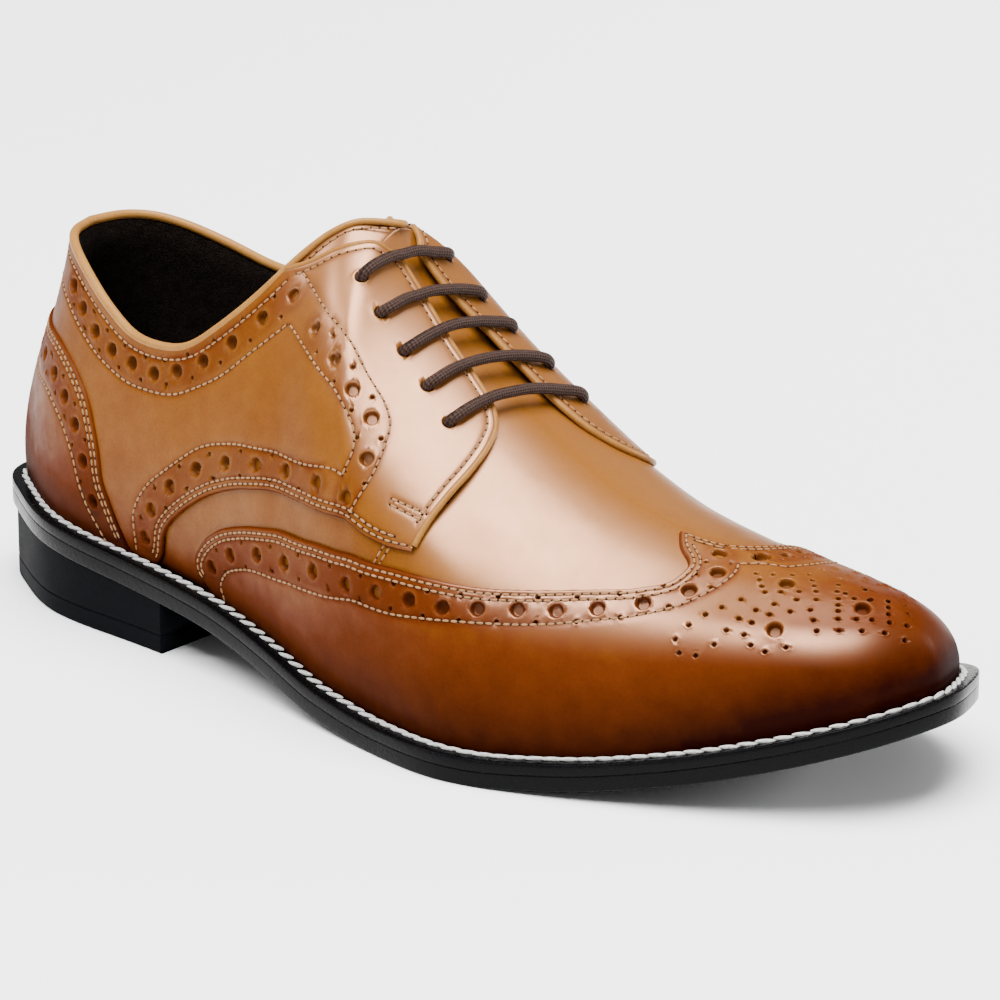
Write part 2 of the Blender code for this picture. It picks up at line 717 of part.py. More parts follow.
def eyelet_cutter(name, side, group):
    """Five short rods through the facing, as one cutter."""
    shape = bmesh.new()
    for place in EYELETS:
        point, out = eyelet(place, side)
        made = bmesh.ops.create_cone(
            shape,
            cap_ends=True,
            segments=12,
            radius1=EYELET_DIAMETER / 2,
            radius2=EYELET_DIAMETER / 2,
            depth=0.012,
        )
        out = out / np.linalg.norm(out)
        side_way = np.cross(out, (1.0, 0.0, 0.0))
        side_way /= np.linalg.norm(side_way)
        third = np.cross(out, side_way)
        centre = part_frame(point)
        for vertex in made["verts"]:
            x, y, z = vertex.co
            vertex.co = centre + side_way * x + third * y + out * z
    bmesh.ops.recalc_face_normals(shape, faces=shape.faces)
    mesh = bpy.data.meshes.new(name)
    shape.to_mesh(mesh)
    shape.free()
    obj = bpy.data.objects.new(name, mesh)
    group.objects.link(obj)
    return obj


def inset_rows(rows, along, up):
    """Rows of a patch moved along the side and up the ribs."""
    return [
        (low_u + along, max(low_v + up, EDGE), high_u, high_v)
        for low_u, low_v, high_u, high_v in rows
    ]


def build_overlays(group, helpers, tan, dark):
    low = -0.0025
    high = 0.0040
    both = (LATERAL, MEDIAL)
    wing = patch("wing_cutter", WING_ROWS, both, low, high, helpers)
    overlay("wing_cap", wing, group, dark)
    counter = patch("counter_cutter", COUNTER_ROWS, both, low, high, helpers)
    overlay("counter", counter, group, dark)
    along = 1.5 * GAP / SOLE_LENGTH
    up = 3 * GAP / COLLAR_HEIGHT
    back = (along, COUNTER_ROWS[0][3] + up, along, OVERHANG)
    near_back = (COUNTER_ROWS[1][0], COUNTER_ROWS[1][3], 0.05, OVERHANG)
    rows = [back] + inset_rows([near_back] + list(QUARTER_ROWS), along, up)
    for name, side in (("quarter_lateral", LATERAL), ("quarter_medial", MEDIAL)):
        quarter = overlay(name, patch(f"{name}_cutter", rows, (side,), low, high, helpers), group, tan)
        cut(quarter, eyelet_cutter(f"{name}_eyelets", side, helpers), "DIFFERENCE")


def unit(vector):
    return vector / np.linalg.norm(vector)


def through(place, side, toward, low_toward):
    """Points of the cord in one eyelet, from below the facing to the start of its bar."""
    point, out = eyelet(place, side)
    out = unit(out)
    inner = GAP
    outer = GAP + OVERLAY_THICKNESS
    radius = LACE_DIAMETER / 2
    across = unit(toward - out * np.dot(toward, out))
    route = []
    if low_toward is not None:
        below = unit(low_toward - out * np.dot(low_toward, out))
        route.append(point + out * (inner - 2.1 * radius) + below * 1.2 * radius)
        route.append(point + out * (inner - 1.2 * radius) + below * 0.2 * radius)
    else:
        route.append(point + out * (inner - 2.0 * radius))
    route.append(point + out * (outer + 0.1 * radius))
    route.append(point + out * (outer + 0.8 * radius) + across * 0.25 * radius)
    route.append(point + out * (outer + 1.5 * radius) + across * 0.9 * radius)
    route.append(point + out * (outer + 1.8 * radius) + across * 1.9 * radius)
    return route


def bar(start, end, crest):
    """Points of a bar between its two ends, arched over the throat."""
    route = []
    for share in (0.12, 0.3, 0.5, 0.7, 0.88):
        spot = start + (end - start) * share
        spot[2] += (crest - spot[2]) * math.sin(math.pi * share) ** 0.55
        route.append(spot)
    return route


def lace_route():
    """The cord's path: bars over the facings, joined by short runs underneath."""
    places = {
        side: [eyelet(place, side)[0] for place in EYELETS] for side in (LATERAL, MEDIAL)
    }
    over = GAP + OVERLAY_THICKNESS + LACE_DIAMETER / 2
    points = []
    for row, place in enumerate(EYELETS):
        near, far = (LATERAL, MEDIAL) if row % 2 == 0 else (MEDIAL, LATERAL)
        way = unit(places[far][row] - places[near][row])
        before = places[near][row - 1] - places[near][row] if row else None
        after = places[far][row + 1] - places[far][row] if row + 1 < len(EYELETS) else None
        rise = through(place, near, way, before)
        fall = through(place, far, -way, after)[::-1]
        crest = ridge_height(places[near][row][0]) + over + LACE_ARCH
        points += rise + bar(rise[-1], fall[0], crest) + fall
    return points


def build_laces(group, look):
    route = part_frame(lace_route())
    curve = bpy.data.curves.new("laces", "CURVE")
    curve.dimensions = "3D"
    curve.bevel_depth = LACE_DIAMETER / 2
    curve.bevel_resolution = 2
    curve.use_fill_caps = True
    spline = curve.splines.new("POLY")
    spline.points.add(len(route) - 1)
    for point, place in zip(spline.points, route):
        point.co = (*place, 1.0)
    curve.materials.append(look)
    group.objects.link(bpy.data.objects.new("laces", curve))


def main():
    clear_scene()
    shoe = collection("brogue_shoe")
    helpers = collection("cutters", hidden=True)
    tan = material("tan_leather", LEATHER, 0.35)
    dark = material("burnished_leather", DARK_LEATHER, 0.3)
    black = material("sole_edge", SOLE_BLACK, 0.35)
    stack = material("heel_block", SOLE_BLACK, 0.6)
    lining = material("lining", LINING, 0.9)
    cord = material("lace_cord", LACE_BROWN, 0.6)
    build_heel(shoe, stack, stack)
    build_sole(shoe, black, lining)
    build_upper(shoe, helpers, tan)
    build_overlays(shoe, helpers, tan, dark)
    build_tongue(shoe, helpers, tan)
    build_laces(shoe, cord)
    for helper in helpers.objects:
        helper.display_type = "WIRE"
        helper.hide_render = True


main()
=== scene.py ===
# %% [markdown]
# A tan wing-tip derby, dressed for the studio
#
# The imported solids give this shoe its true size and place. This notebook gives it its looks:
# leather panels with punched holes, rows of thread, a rope of welt stitches, a woven lace and
# a polished sole edge. Every length is in metres. The toe points along +X and the outer side
# faces -Y, towards the camera.
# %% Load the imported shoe
import math

import bmesh
import bpy
import numpy as np
from mathutils import Matrix, Vector, kdtree


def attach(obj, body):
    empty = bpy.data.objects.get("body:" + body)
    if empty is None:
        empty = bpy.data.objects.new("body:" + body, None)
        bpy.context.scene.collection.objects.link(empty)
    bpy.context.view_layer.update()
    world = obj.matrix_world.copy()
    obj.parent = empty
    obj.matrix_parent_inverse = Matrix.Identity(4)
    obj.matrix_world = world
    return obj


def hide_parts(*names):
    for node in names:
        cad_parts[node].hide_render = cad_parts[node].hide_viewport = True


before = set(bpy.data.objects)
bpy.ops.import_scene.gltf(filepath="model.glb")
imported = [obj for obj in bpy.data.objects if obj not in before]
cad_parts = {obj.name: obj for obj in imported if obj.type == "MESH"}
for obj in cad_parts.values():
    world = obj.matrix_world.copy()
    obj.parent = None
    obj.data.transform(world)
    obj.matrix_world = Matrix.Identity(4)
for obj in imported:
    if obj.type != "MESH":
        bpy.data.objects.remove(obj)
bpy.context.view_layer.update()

# %% [markdown]
# The camera
#
# The photograph looks at the outer side from a little in front of it and from above, through
# a long lens. The picture is square. A small shift slides the shoe to its place in the frame
# without turning the view.
# %% Place the camera
VIEW_TURN = math.radians(38)
VIEW_RISE = math.radians(18)
VIEW_DISTANCE = 1.3
VIEW_TARGET = Vector((0.0005, 0.0088, 0.040))


def place_camera():
    lens = bpy.data.cameras.new("camera")
    lens.lens = 183.0
    lens.sensor_width = 36.0
    lens.shift_x = 0.040
    lens.shift_y = 0.027
    camera = bpy.data.objects.new("camera", lens)
    back = Vector(
        (
            math.sin(VIEW_TURN) * math.cos(VIEW_RISE),
            -math.cos(VIEW_TURN) * math.cos(VIEW_RISE),
            math.sin(VIEW_RISE),
        )
    )
    camera.location = VIEW_TARGET + back * VIEW_DISTANCE
    camera.rotation_euler = (-back).to_track_quat("-Z", "Y").to_euler()
    bpy.context.scene.collection.objects.link(camera)
    bpy.context.scene.camera = camera
    print("camera at", [round(value, 3) for value in camera.location])


place_camera()

# %% [markdown]
# Maths in a material
#
# A material is a tree of nodes. Wiring it by hand takes many lines, so one small class wraps
# a socket: adding or multiplying two wires adds the Math node, and one method makes any
# other node from its type, its settings and its sockets.


# %% A wire between nodes
class Wire:
    def __init__(self, socket):
        self.socket = socket

    @classmethod
    def node(cls, tree, kind, settings=None, sockets=None, out=0):
        made = tree.nodes.new(kind)
        for key, value in (settings or {}).items():
            if key == "stops":
                ramp = made.color_ramp
                while len(ramp.elements) < len(value):
                    ramp.elements.new(0.5)
                for stop, (position, colour) in zip(ramp.elements, value):
                    stop.position = position
                    stop.color = colour
            else:
                setattr(made, key, value)
        for key, value in (sockets or {}).items():
            if isinstance(value, Wire):
                tree.links.new(value.socket, made.inputs[key])
            else:
                made.inputs[key].default_value = value
        return cls(made.outputs[out])

    def maths(self, operation, first, second):
        sockets = {0: first, 1: second}
        return Wire.node(self.socket.id_data, "ShaderNodeMath", {"operation": operation}, sockets)

    def __add__(self, other):
        return self.maths("ADD", self, other)

    def __radd__(self, other):
        return self.maths("ADD", other, self)

    def __sub__(self, other):
        return self.maths("SUBTRACT", self, other)

    def __rsub__(self, other):
        return self.maths("SUBTRACT", other, self)

    def __mul__(self, other):
        return self.maths("MULTIPLY", self, other)

    def __rmul__(self, other):
        return self.maths("MULTIPLY", other, self)

    def sine(self):
        return Wire.node(self.socket.id_data, "ShaderNodeMath", {"operation": "SINE"}, {0: self})

    def clipped(self):
        return Wire.node(self.socket.id_data, "ShaderNodeClamp", {}, {"Value": self})


def start_material(name, roughness, **values):
    made = bpy.data.materials.new(name)
    made.use_nodes = True
    shader = made.node_tree.nodes["Principled BSDF"]
    shader.inputs["Roughness"].default_value = roughness
    for key, value in values.items():
        shader.inputs[key.replace("_", " ")].default_value = value
    return made, made.node_tree, shader


def object_place(tree):
    return Wire.node(tree, "ShaderNodeTexCoord", out="Object")


def point_value(tree, name):
    """A value that the piece carries on its points."""
    return Wire.node(tree, "ShaderNodeAttribute", {"attribute_name": name}, out="Fac")


def noise(tree, place, scale, detail=3.0):
    sockets = {"Vector": place, "Scale": scale, "Detail": detail}
    return Wire.node(tree, "ShaderNodeTexNoise", {}, sockets)


def mix(tree, factor, first, second):
    sockets = {0: factor, 6: first, 7: second}
    return Wire.node(tree, "ShaderNodeMix", {"data_type": "RGBA"}, sockets, out=2)


def finish_material(tree, shader, colour, roughness=None, height=None, depth=0.0002, strength=1.0):
    for name, wire in (("Base Color", colour), ("Roughness", roughness)):
        if wire is not None:
            tree.links.new(wire.socket, shader.inputs[name])
    if height is not None:
        sockets = {"Strength": strength, "Distance": depth, "Height": height}
        bump = Wire.node(tree, "ShaderNodeBump", {}, sockets)
        tree.links.new(bump.socket, shader.inputs["Normal"])


# %% [markdown]
# Tan calf leather, hand burnished, with painted shade and sheen
#
# The upper is smooth calf that was dyed tan and then rubbed darker round the toe and heel. Its lower
# edges are darker too, partly from that burnish and partly as painted shade. Each panel carries three
# values on its points: one says how dark the leather is, from burnish and from painted shade in
# seams, along edges and low on the panel; pit is 1 inside a punched hole, which a painted shade
# darkens; and one says how strongly a glossy layer shines. That layer is a painted sheen, laid on by
# place only where the lamps' light falls.
# %% Leather
TAN = (0.160, 0.055, 0.0052, 1.0)
MID = (0.078, 0.0150, 0.0014, 1.0)
DARK = (0.0105, 0.0006, 0.0002, 1.0)
PIT_SHADE = (0.0100, 0.0016, 0.0007, 1.0)
SHEEN_LAYER_TINT = (1.0, 0.52, 0.31, 1.0)
SHEEN = (1.0, 0.66, 0.48, 1.0)


def leather(name, pale=TAN, roughness=0.36):
    made, tree, shader = start_material(name, roughness, Specular_IOR_Level=0.28)
    shader.inputs["Specular Tint"].default_value = SHEEN
    place = object_place(tree)
    burnish = point_value(tree, "burnish")
    pit = point_value(tree, "pit")
    cloud = noise(tree, place, 26.0, 3.0)
    mottle = noise(tree, place, 190.0, 4.0)
    pores = noise(tree, place, 1500.0, 5.0)
    tone = burnish + (cloud - 0.5) * 0.34 + (mottle - 0.5) * 0.22
    stops = [(0.0, pale), (0.42, MID), (1.0, DARK)]
    base = Wire.node(tree, "ShaderNodeValToRGB", {"stops": stops}, {"Fac": tone.clipped()})
    # Inside the holes the colour is pulled to a painted shade.
    base = mix(tree, (pit * 0.62).clipped(), base, PIT_SHADE)
    speck = mix(tree, (pores - 0.42) * 0.55, base, DARK)
    dull = roughness + (mottle - 0.5) * 0.12 + (pores - 0.5) * 0.10 + pit * 0.25
    grain = pores + mottle * 0.8
    finish_material(tree, shader, speck, dull, grain, depth=0.00008, strength=0.55)
    # A painted sheen: a glossy metallic layer mixed in by a value laid on the top-facing parts of the
    # near side, where the lamps' light falls.
    polish = point_value(tree, "polish")
    sheen_strength = polish * (0.17 + (cloud - 0.5) * 0.12 + (mottle - 0.5) * 0.10 + (pores - 0.5) * 0.05)
    dry = {"Base Color": speck, "Roughness": 1.0, "Specular IOR Level": 0.0}
    matte = Wire.node(tree, "ShaderNodeBsdfPrincipled", {}, dry)
    sheen_settings = {"Base Color": SHEEN_LAYER_TINT, "Metallic": 1.0, "Roughness": 0.36}
    sheen_layer = Wire.node(tree, "ShaderNodeBsdfPrincipled", {}, sheen_settings)
    both = Wire(shader.outputs["BSDF"])
    for share, layer_on in (((tone * 1.3 + 0.30).clipped() * 0.9 - polish, matte), (sheen_strength, sheen_layer)):
        sockets = {0: share.clipped(), 1: both, 2: layer_on}
        both = Wire.node(tree, "ShaderNodeMixShader", {}, sockets)
    tree.links.new(both.socket, tree.nodes["Material Output"].inputs["Surface"])
    return made


tan_leather = leather("tan_leather")
edge_leather = leather("edge_leather", pale=(0.27, 0.125, 0.028, 1.0), roughness=0.32)

# %% [markdown]
# The form of the last
#
# Every panel lies on one form: the last, the block that the shoe was made on. It is a set of
# ribs, each a cubic curve from the welt up to the topline or to the ridge over the instep.
# A place on it is a pair: u runs from the heel's back to the toe's tip, v from the welt up.
# The solids were made on the same form, so the tables here repeat theirs.
# %% Sizes of the last
SOLE_LENGTH = 0.304
BALL_WIDTH = 0.110
WAIST_WIDTH = 0.072
HEEL_WIDTH = 0.065
TOE_WIDTH = 0.068
HEEL_HEIGHT = 0.021
TOE_SPRING = 0.022
TOPLIFT_THICKNESS = 0.0050
OUTSOLE_THICKNESS = 0.0040
WELT_THICKNESS = 0.0025
WELT_SHOW = 0.0065
INSOLE_RISE = 0.0025
HEEL_BREAST = 0.0815
HEEL_INSET = 0.0012
COLLAR_HEIGHT = 0.1006
ANKLE_HEIGHT = 0.0830
INSTEP_HEIGHT = 0.1180
VAMP_HEIGHT = 0.0610
TOE_HEIGHT = 0.0500
COLLAR_WIDTH = 0.0540
GAP = 0.0003
SOLE_STACK = OUTSOLE_THICKNESS + GAP + WELT_THICKNESS
LATERAL = -1
MEDIAL = 1
SIDES = (LATERAL, MEDIAL)

OUTLINE = (
    # at     width       lateral  medial
    (0.000, HEEL_WIDTH, -0.045, 0.045),
    (0.012, HEEL_WIDTH, 0.115, 0.210),
    (0.038, HEEL_WIDTH, 0.220, 0.320),
    (0.108, HEEL_WIDTH, 0.425, 0.460),
    (0.217, HEEL_WIDTH, 0.530, 0.475),
    (0.290, WAIST_WIDTH, 0.530, 0.395),
    (0.385, WAIST_WIDTH, 0.620, 0.385),
    (0.475, WAIST_WIDTH, 0.735, 0.430),
    (0.565, BALL_WIDTH, 0.545, 0.335),
    (0.640, BALL_WIDTH, 0.580, 0.385),
    (0.695, BALL_WIDTH, 0.555, 0.412),
    (0.750, BALL_WIDTH, 0.508, 0.422),
    (0.810, BALL_WIDTH, 0.448, 0.414),
    (0.870, BALL_WIDTH, 0.382, 0.384),
    (0.930, TOE_WIDTH, 0.480, 0.515),
    (0.970, TOE_WIDTH, 0.340, 0.345),
    (0.991, TOE_WIDTH, 0.190, 0.145),
    (1.000, TOE_WIDTH, 0.030, -0.030),
)
UNDERSIDE = (
    # at    height       share
    (0.000, HEEL_HEIGHT, 1.000),
    (0.120, HEEL_HEIGHT, 0.880),
    (0.235, HEEL_HEIGHT, 0.730),
    (0.325, HEEL_HEIGHT, 0.600),
    (0.410, HEEL_HEIGHT, 0.360),
    (0.490, HEEL_HEIGHT, 0.105),
    (0.570, HEEL_HEIGHT, 0.000),
    (0.660, TOE_SPRING, 0.000),
    (0.740, TOE_SPRING, 0.077),
    (0.820, TOE_SPRING, 0.264),
    (0.900, TOE_SPRING, 0.550),
    (1.000, TOE_SPRING, 1.000),
)
CORNER = 0.53
COLLAR_LATERAL = (
    # at    x      y       height         z      out1  up1   out2  down2 turn
    (0.00, 0.084, 0.056, COLLAR_HEIGHT, 1.000, 0.05, 0.34, 0.04, 0.30, 90),
    (0.05, 0.093, -0.111, COLLAR_HEIGHT, 0.997, 0.05, 0.34, 0.04, 0.30, 60),
    (0.10, 0.115, -0.250, COLLAR_HEIGHT, 0.979, 0.08, 0.35, 0.05, 0.30, 38),
    (0.15, 0.148, -0.357, COLLAR_HEIGHT, 0.930, 0.10, 0.35, 0.05, 0.32, 20),
    (0.20, 0.185, -0.441, ANKLE_HEIGHT, 1.053, 0.12, 0.34, 0.05, 0.34, 8),
    (0.25, 0.229, -0.500, ANKLE_HEIGHT, 0.992, 0.12, 0.32, 0.05, 0.36, 3),
    (0.30, 0.275, -0.519, ANKLE_HEIGHT, 1.005, 0.12, 0.32, 0.06, 0.38, 0),
    (0.35, 0.319, -0.504, ANKLE_HEIGHT, 1.096, 0.12, 0.32, 0.08, 0.38, 0),
    (0.40, 0.359, -0.456, INSTEP_HEIGHT, 0.858, 0.12, 0.32, 0.12, 0.36, 0),
    (0.45, 0.393, -0.333, INSTEP_HEIGHT, 0.956, 0.10, 0.34, 0.17, 0.28, 0),
    (0.50, 0.423, -0.176, INSTEP_HEIGHT, 1.008, 0.10, 0.36, 0.24, 0.12, 0),
    (0.53, 0.441, -0.074, INSTEP_HEIGHT, 0.992, 0.10, 0.38, 0.28, 0.02, 0),
)
COLLAR_MEDIAL = (
    # at    x      y       height         z      out1  up1   out2  down2 turn
    (0.00, 0.084, 0.056, COLLAR_HEIGHT, 1.000, 0.05, 0.34, 0.04, 0.30, 90),
    (0.05, 0.089, 0.215, COLLAR_HEIGHT, 1.000, 0.05, 0.34, 0.04, 0.30, 60),
    (0.10, 0.106, 0.357, COLLAR_HEIGHT, 0.992, 0.08, 0.35, 0.05, 0.30, 38),
    (0.15, 0.140, 0.454, COLLAR_HEIGHT, 0.964, 0.10, 0.35, 0.05, 0.32, 20),
    (0.20, 0.184, 0.494, ANKLE_HEIGHT, 1.123, 0.12, 0.34, 0.05, 0.34, 8),
    (0.25, 0.229, 0.500, ANKLE_HEIGHT, 1.089, 0.12, 0.32, 0.05, 0.36, 3),
    (0.30, 0.275, 0.481, ANKLE_HEIGHT, 1.087, 0.10, 0.32, 0.06, 0.38, 0),
    (0.35, 0.319, 0.441, ANKLE_HEIGHT, 1.139, 0.08, 0.32, 0.07, 0.38, 0),
    (0.40, 0.359, 0.367, INSTEP_HEIGHT, 0.875, 0.08, 0.32, 0.08, 0.36, 0),
    (0.45, 0.393, 0.215, INSTEP_HEIGHT, 0.958, 0.08, 0.34, 0.13, 0.28, 0),
    (0.50, 0.423, 0.037, INSTEP_HEIGHT, 1.008, 0.08, 0.36, 0.20, 0.12, 0),
    (0.53, 0.441, -0.074, INSTEP_HEIGHT, 0.992, 0.08, 0.38, 0.26, 0.02, 0),
)
RIDGE = (
    # at    x      y       height         z
    (0.55, 0.467, -0.074, INSTEP_HEIGHT, 0.904),
    (0.58, 0.516, -0.083, INSTEP_HEIGHT, 0.794),
    (0.61, 0.566, -0.096, INSTEP_HEIGHT, 0.698),
    (0.64, 0.613, -0.111, INSTEP_HEIGHT, 0.615),
    (0.67, 0.655, -0.126, VAMP_HEIGHT, 1.082),
    (0.70, 0.694, -0.144, VAMP_HEIGHT, 1.003),
    (0.75, 0.753, -0.159, VAMP_HEIGHT, 0.933),
    (0.80, 0.804, -0.159, TOE_HEIGHT, 1.082),
    (0.85, 0.849, -0.148, TOE_HEIGHT, 1.042),
    (0.90, 0.883, -0.126, TOE_HEIGHT, 1.018),
    (0.95, 0.908, -0.100, TOE_HEIGHT, 1.002),
    (1.00, 0.921, -0.085, TOE_HEIGHT, 0.992),
)
FRONT_LATERAL = (
    # out1 up1  out2  down2 turn
    (0.10, 0.40, 0.32, 0.00, 0),
    (0.09, 0.42, 0.37, 0.00, 0),
    (0.08, 0.45, 0.43, 0.00, 0),
    (0.07, 0.48, 0.50, 0.00, 0),
    (0.06, 0.50, 0.56, 0.00, 0),
    (0.05, 0.52, 0.60, 0.00, 0),
    (0.05, 0.53, 0.62, 0.00, 2),
    (0.05, 0.54, 0.62, 0.00, 9),
    (0.06, 0.55, 0.58, 0.00, 22),
    (0.08, 0.56, 0.54, 0.00, 42),
    (0.10, 0.56, 0.51, 0.00, 66),
    (0.14, 0.56, 0.48, 0.00, 90),
)
FRONT_MEDIAL = (
    # out1 up1  out2  down2 turn
    (0.07, 0.40, 0.33, 0.00, 0),
    (0.06, 0.42, 0.40, 0.00, 0),
    (0.05, 0.45, 0.48, 0.00, 0),
    (0.05, 0.48, 0.54, 0.00, 0),
    (0.04, 0.50, 0.58, 0.00, 0),
    (0.04, 0.52, 0.60, 0.00, 0),
    (0.04, 0.53, 0.62, 0.00, 2),
    (0.04, 0.54, 0.62, 0.00, 9),
    (0.06, 0.55, 0.60, 0.00, 22),
    (0.08, 0.56, 0.57, 0.00, 42),
    (0.12, 0.56, 0.52, 0.00, 66),
    (0.14, 0.56, 0.48, 0.00, 90),
)


# %% Curves through a few points
def unit(vector):
    return vector / np.linalg.norm(vector)


def units(rows):
    """Each row scaled to a length of one."""
    return rows / np.linalg.norm(rows, axis=-1, keepdims=True)


def run_along(points):
    """The distance along a line of points, at each of them."""
    return np.concatenate([[0], np.cumsum(np.linalg.norm(np.diff(points, axis=0), axis=1))])


def curve(xs, ys, supple=False):
    """A smooth curve through the points: steady never swings past them, supple runs rounder."""
    xs = np.asarray(xs, float)
    ys = np.asarray(ys, float)
    step = np.diff(xs)
    rise = np.diff(ys) / step
    slope = np.zeros_like(ys)
    slope[0] = rise[0]
    slope[-1] = rise[-1]
    for i in range(1, len(xs) - 1):
        if supple:
            slope[i] = (rise[i - 1] * step[i] + rise[i] * step[i - 1]) / (step[i - 1] + step[i])
        elif rise[i - 1] * rise[i] > 0:
            before = 2 * step[i] + step[i - 1]
            after = step[i] + 2 * step[i - 1]
            slope[i] = (before + after) / (before / rise[i - 1] + after / rise[i])

    def value(x):
        x = np.asarray(x, float)
        k = np.clip(np.searchsorted(xs, x, side="right") - 1, 0, len(xs) - 2)
        t = (x - xs[k]) / step[k]
        start = (1 + 2 * t) * (1 - t) ** 2 * ys[k] + t * (1 - t) ** 2 * step[k] * slope[k]
        end = t * t * (3 - 2 * t) * ys[k + 1] + t * t * (t - 1) * step[k] * slope[k + 1]
        return start + end

    return value


def round_spline(points):
    """A smooth closed curve through plan points, by distance along its chords."""
    points = np.asarray(points, float)
    count = len(points)
    ring = np.vstack([points, points[:1]])
    chord = np.linalg.norm(np.diff(ring, axis=0), axis=1)
    knots = np.concatenate([[0.0], np.cumsum(chord)])
    table = np.zeros((count, count))
    right = np.zeros_like(points)
    for i in range(count):
        before = chord[i - 1]
        after = chord[i]
        table[i, (i - 1) % count] += before
        table[i, i] += 2 * (before + after)
        table[i, (i + 1) % count] += after
        right[i] = 6 * ((ring[i + 1] - points[i]) / after - (points[i] - points[i - 1]) / before)
    bend = np.linalg.solve(table, right)
    bend = np.vstack([bend, bend[:1]])

    def value(t):
        t = np.mod(np.asarray(t, float), knots[-1])
        k = np.clip(np.searchsorted(knots, t, side="right") - 1, 0, count - 1)
        a = ((knots[k + 1] - t) / chord[k])[..., None]
        b = ((t - knots[k]) / chord[k])[..., None]
        sixth = (chord[k] ** 2)[..., None] / 6
        bent = ((a**3 - a) * bend[k] + (b**3 - b) * bend[k + 1]) * sixth
        return a * ring[k] + b * ring[k + 1] + bent

    return value, knots


# %% The sole's outline and underside
def outline_curve():
    lateral = [(at * SOLE_LENGTH, -width * low) for at, width, low, _ in OUTLINE]
    medial = [(at * SOLE_LENGTH, width * high) for at, width, _, high in OUTLINE]
    ring, knots = round_spline(lateral + medial[1:-1][::-1])
    return ring, knots[-1], knots[len(lateral) - 1]


OUTLINE_AT, OUTLINE_END, TIP_AT = outline_curve()


def outline(u, side):
    """The outline's point and outward direction at share u of one side."""
    u = np.asarray(u, float)
    t = np.where(side < 0, u * TIP_AT, OUTLINE_END - u * (OUTLINE_END - TIP_AT))
    step = 1e-4
    along = units(OUTLINE_AT(t + step) - OUTLINE_AT(t - step))
    return OUTLINE_AT(t), np.stack([along[..., 1], -along[..., 0]], -1)


def plan_middle():
    ring = OUTLINE_AT(np.linspace(0, OUTLINE_END, 2000))
    return (ring.min(axis=0) + ring.max(axis=0)) / 2


MIDDLE = np.array([*plan_middle(), 0.0])
underside = curve(
    [row[0] * SOLE_LENGTH for row in UNDERSIDE], [row[1] * row[2] for row in UNDERSIDE]
)
print("middle of the plan", MIDDLE)


# %% The ribs
def rib_columns(collar, front):
    rows = [
        (at, x * SOLE_LENGTH, y * COLLAR_WIDTH, z * height, *handles)
        for at, x, y, height, z, *handles in collar
    ]
    for (at, x, y, height, z), handles in zip(RIDGE, front):
        rows.append((at, x * SOLE_LENGTH, y * COLLAR_WIDTH, z * height, *handles))
    table = np.array(rows, float)
    return [curve(table[:, 0], table[:, k]) for k in range(1, table.shape[1])]


PLAIN_RIBS = {
    LATERAL: rib_columns(COLLAR_LATERAL, FRONT_LATERAL),
    MEDIAL: rib_columns(COLLAR_MEDIAL, FRONT_MEDIAL),
}


def smooth(start, end, value):
    """0 before start and 1 past end, with a soft turn at both."""
    share = np.clip((value - start) / (end - start), 0, 1)
    return share * share * (3 - 2 * share)


def eased(side, spread=0.012):
    """The rib tables with their small corners rounded, so that highlights run evenly."""
    fine = np.arange(-0.06, 1.0601, 0.0005)
    reach = np.arange(-60, 61) * 0.0005
    kernel = np.exp(-((reach / spread) ** 2) / 2)
    kernel /= kernel.sum()
    beyond = (fine < 0) | (fine > 1)
    keep = smooth(0.0, 0.05, fine) * (1 - smooth(0.95, 1.0, fine))
    keep *= 1 - 0.45 * np.exp(-(((fine - CORNER) / 0.02) ** 2))
    columns = []
    for own, other in zip(PLAIN_RIBS[side], PLAIN_RIBS[-side]):
        folded = np.clip(np.where(fine < 0, -fine, 2 - fine), 0, 1)
        raw = np.where(beyond, other(folded), own(np.clip(fine, 0, 1)))
        soft = np.convolve(raw, kernel, mode="same")
        values = raw + (soft - raw) * keep
        columns.append(lambda u, values=values: np.interp(u, fine, values))
    return columns


RIBS = {side: eased(side) for side in SIDES}


def rib_handles(u, side):
    """The four control points of the rib at share u of one side."""
    foot, outward = outline(u, side)
    foot = foot - outward * WELT_SHOW
    floor = underside(foot[..., 0]) + SOLE_STACK + GAP
    x, y, z, out1, up1, out2, down2, turn = [column(u) for column in RIBS[side]]
    up = np.array([0.0, 0.0, 1.0])
    rise = (z - floor)[..., None]
    low = np.concatenate([foot, floor[..., None]], -1)
    top = np.stack([x, y, z], -1)
    outward = np.concatenate([outward, np.zeros_like(floor)[..., None]], -1)
    turn = np.radians(turn)
    forward = np.where(u < CORNER, -1.0, 1.0) * np.sin(turn)
    step = 1e-3
    ahead = np.clip(u + step, 0, 1)
    behind = np.clip(u - step, 0, 1)
    run = RIBS[side][0](ahead) - RIBS[side][0](behind)
    drop = RIBS[side][2](ahead) - RIBS[side][2](behind)
    slope = np.clip(drop / np.where(np.abs(run) > 1e-9, run, 1.0), -0.9, 0.9)
    slope = slope * (u > RIDGE[5][0])
    across = np.stack([forward, side * np.cos(turn), forward * slope], -1)
    low_handle = low + outward * out1[..., None] * rise + up * up1[..., None] * rise
    top_handle = top + across * out2[..., None] * rise - up * down2[..., None] * rise
    return low, low_handle, top_handle, top


def rib_point(u, v, side):
    a, b, c, d = rib_handles(u, side)
    w = v[..., None]
    return (1 - w) ** 3 * a + 3 * (1 - w) ** 2 * w * b + 3 * (1 - w) * w * w * c + w**3 * d


def mirrored_point(u, v, side):
    """The point at u, carried on round the heel or the toe where u leaves 0 to 1."""
    inside = rib_point(np.clip(u, 0, 1), v, side)
    folded = np.where(u < 0, -u, np.where(u > 1, 2 - u, u))
    over = ((u < 0) | (u > 1))[..., None]
    return np.where(over, rib_point(folded, v, -side), inside)


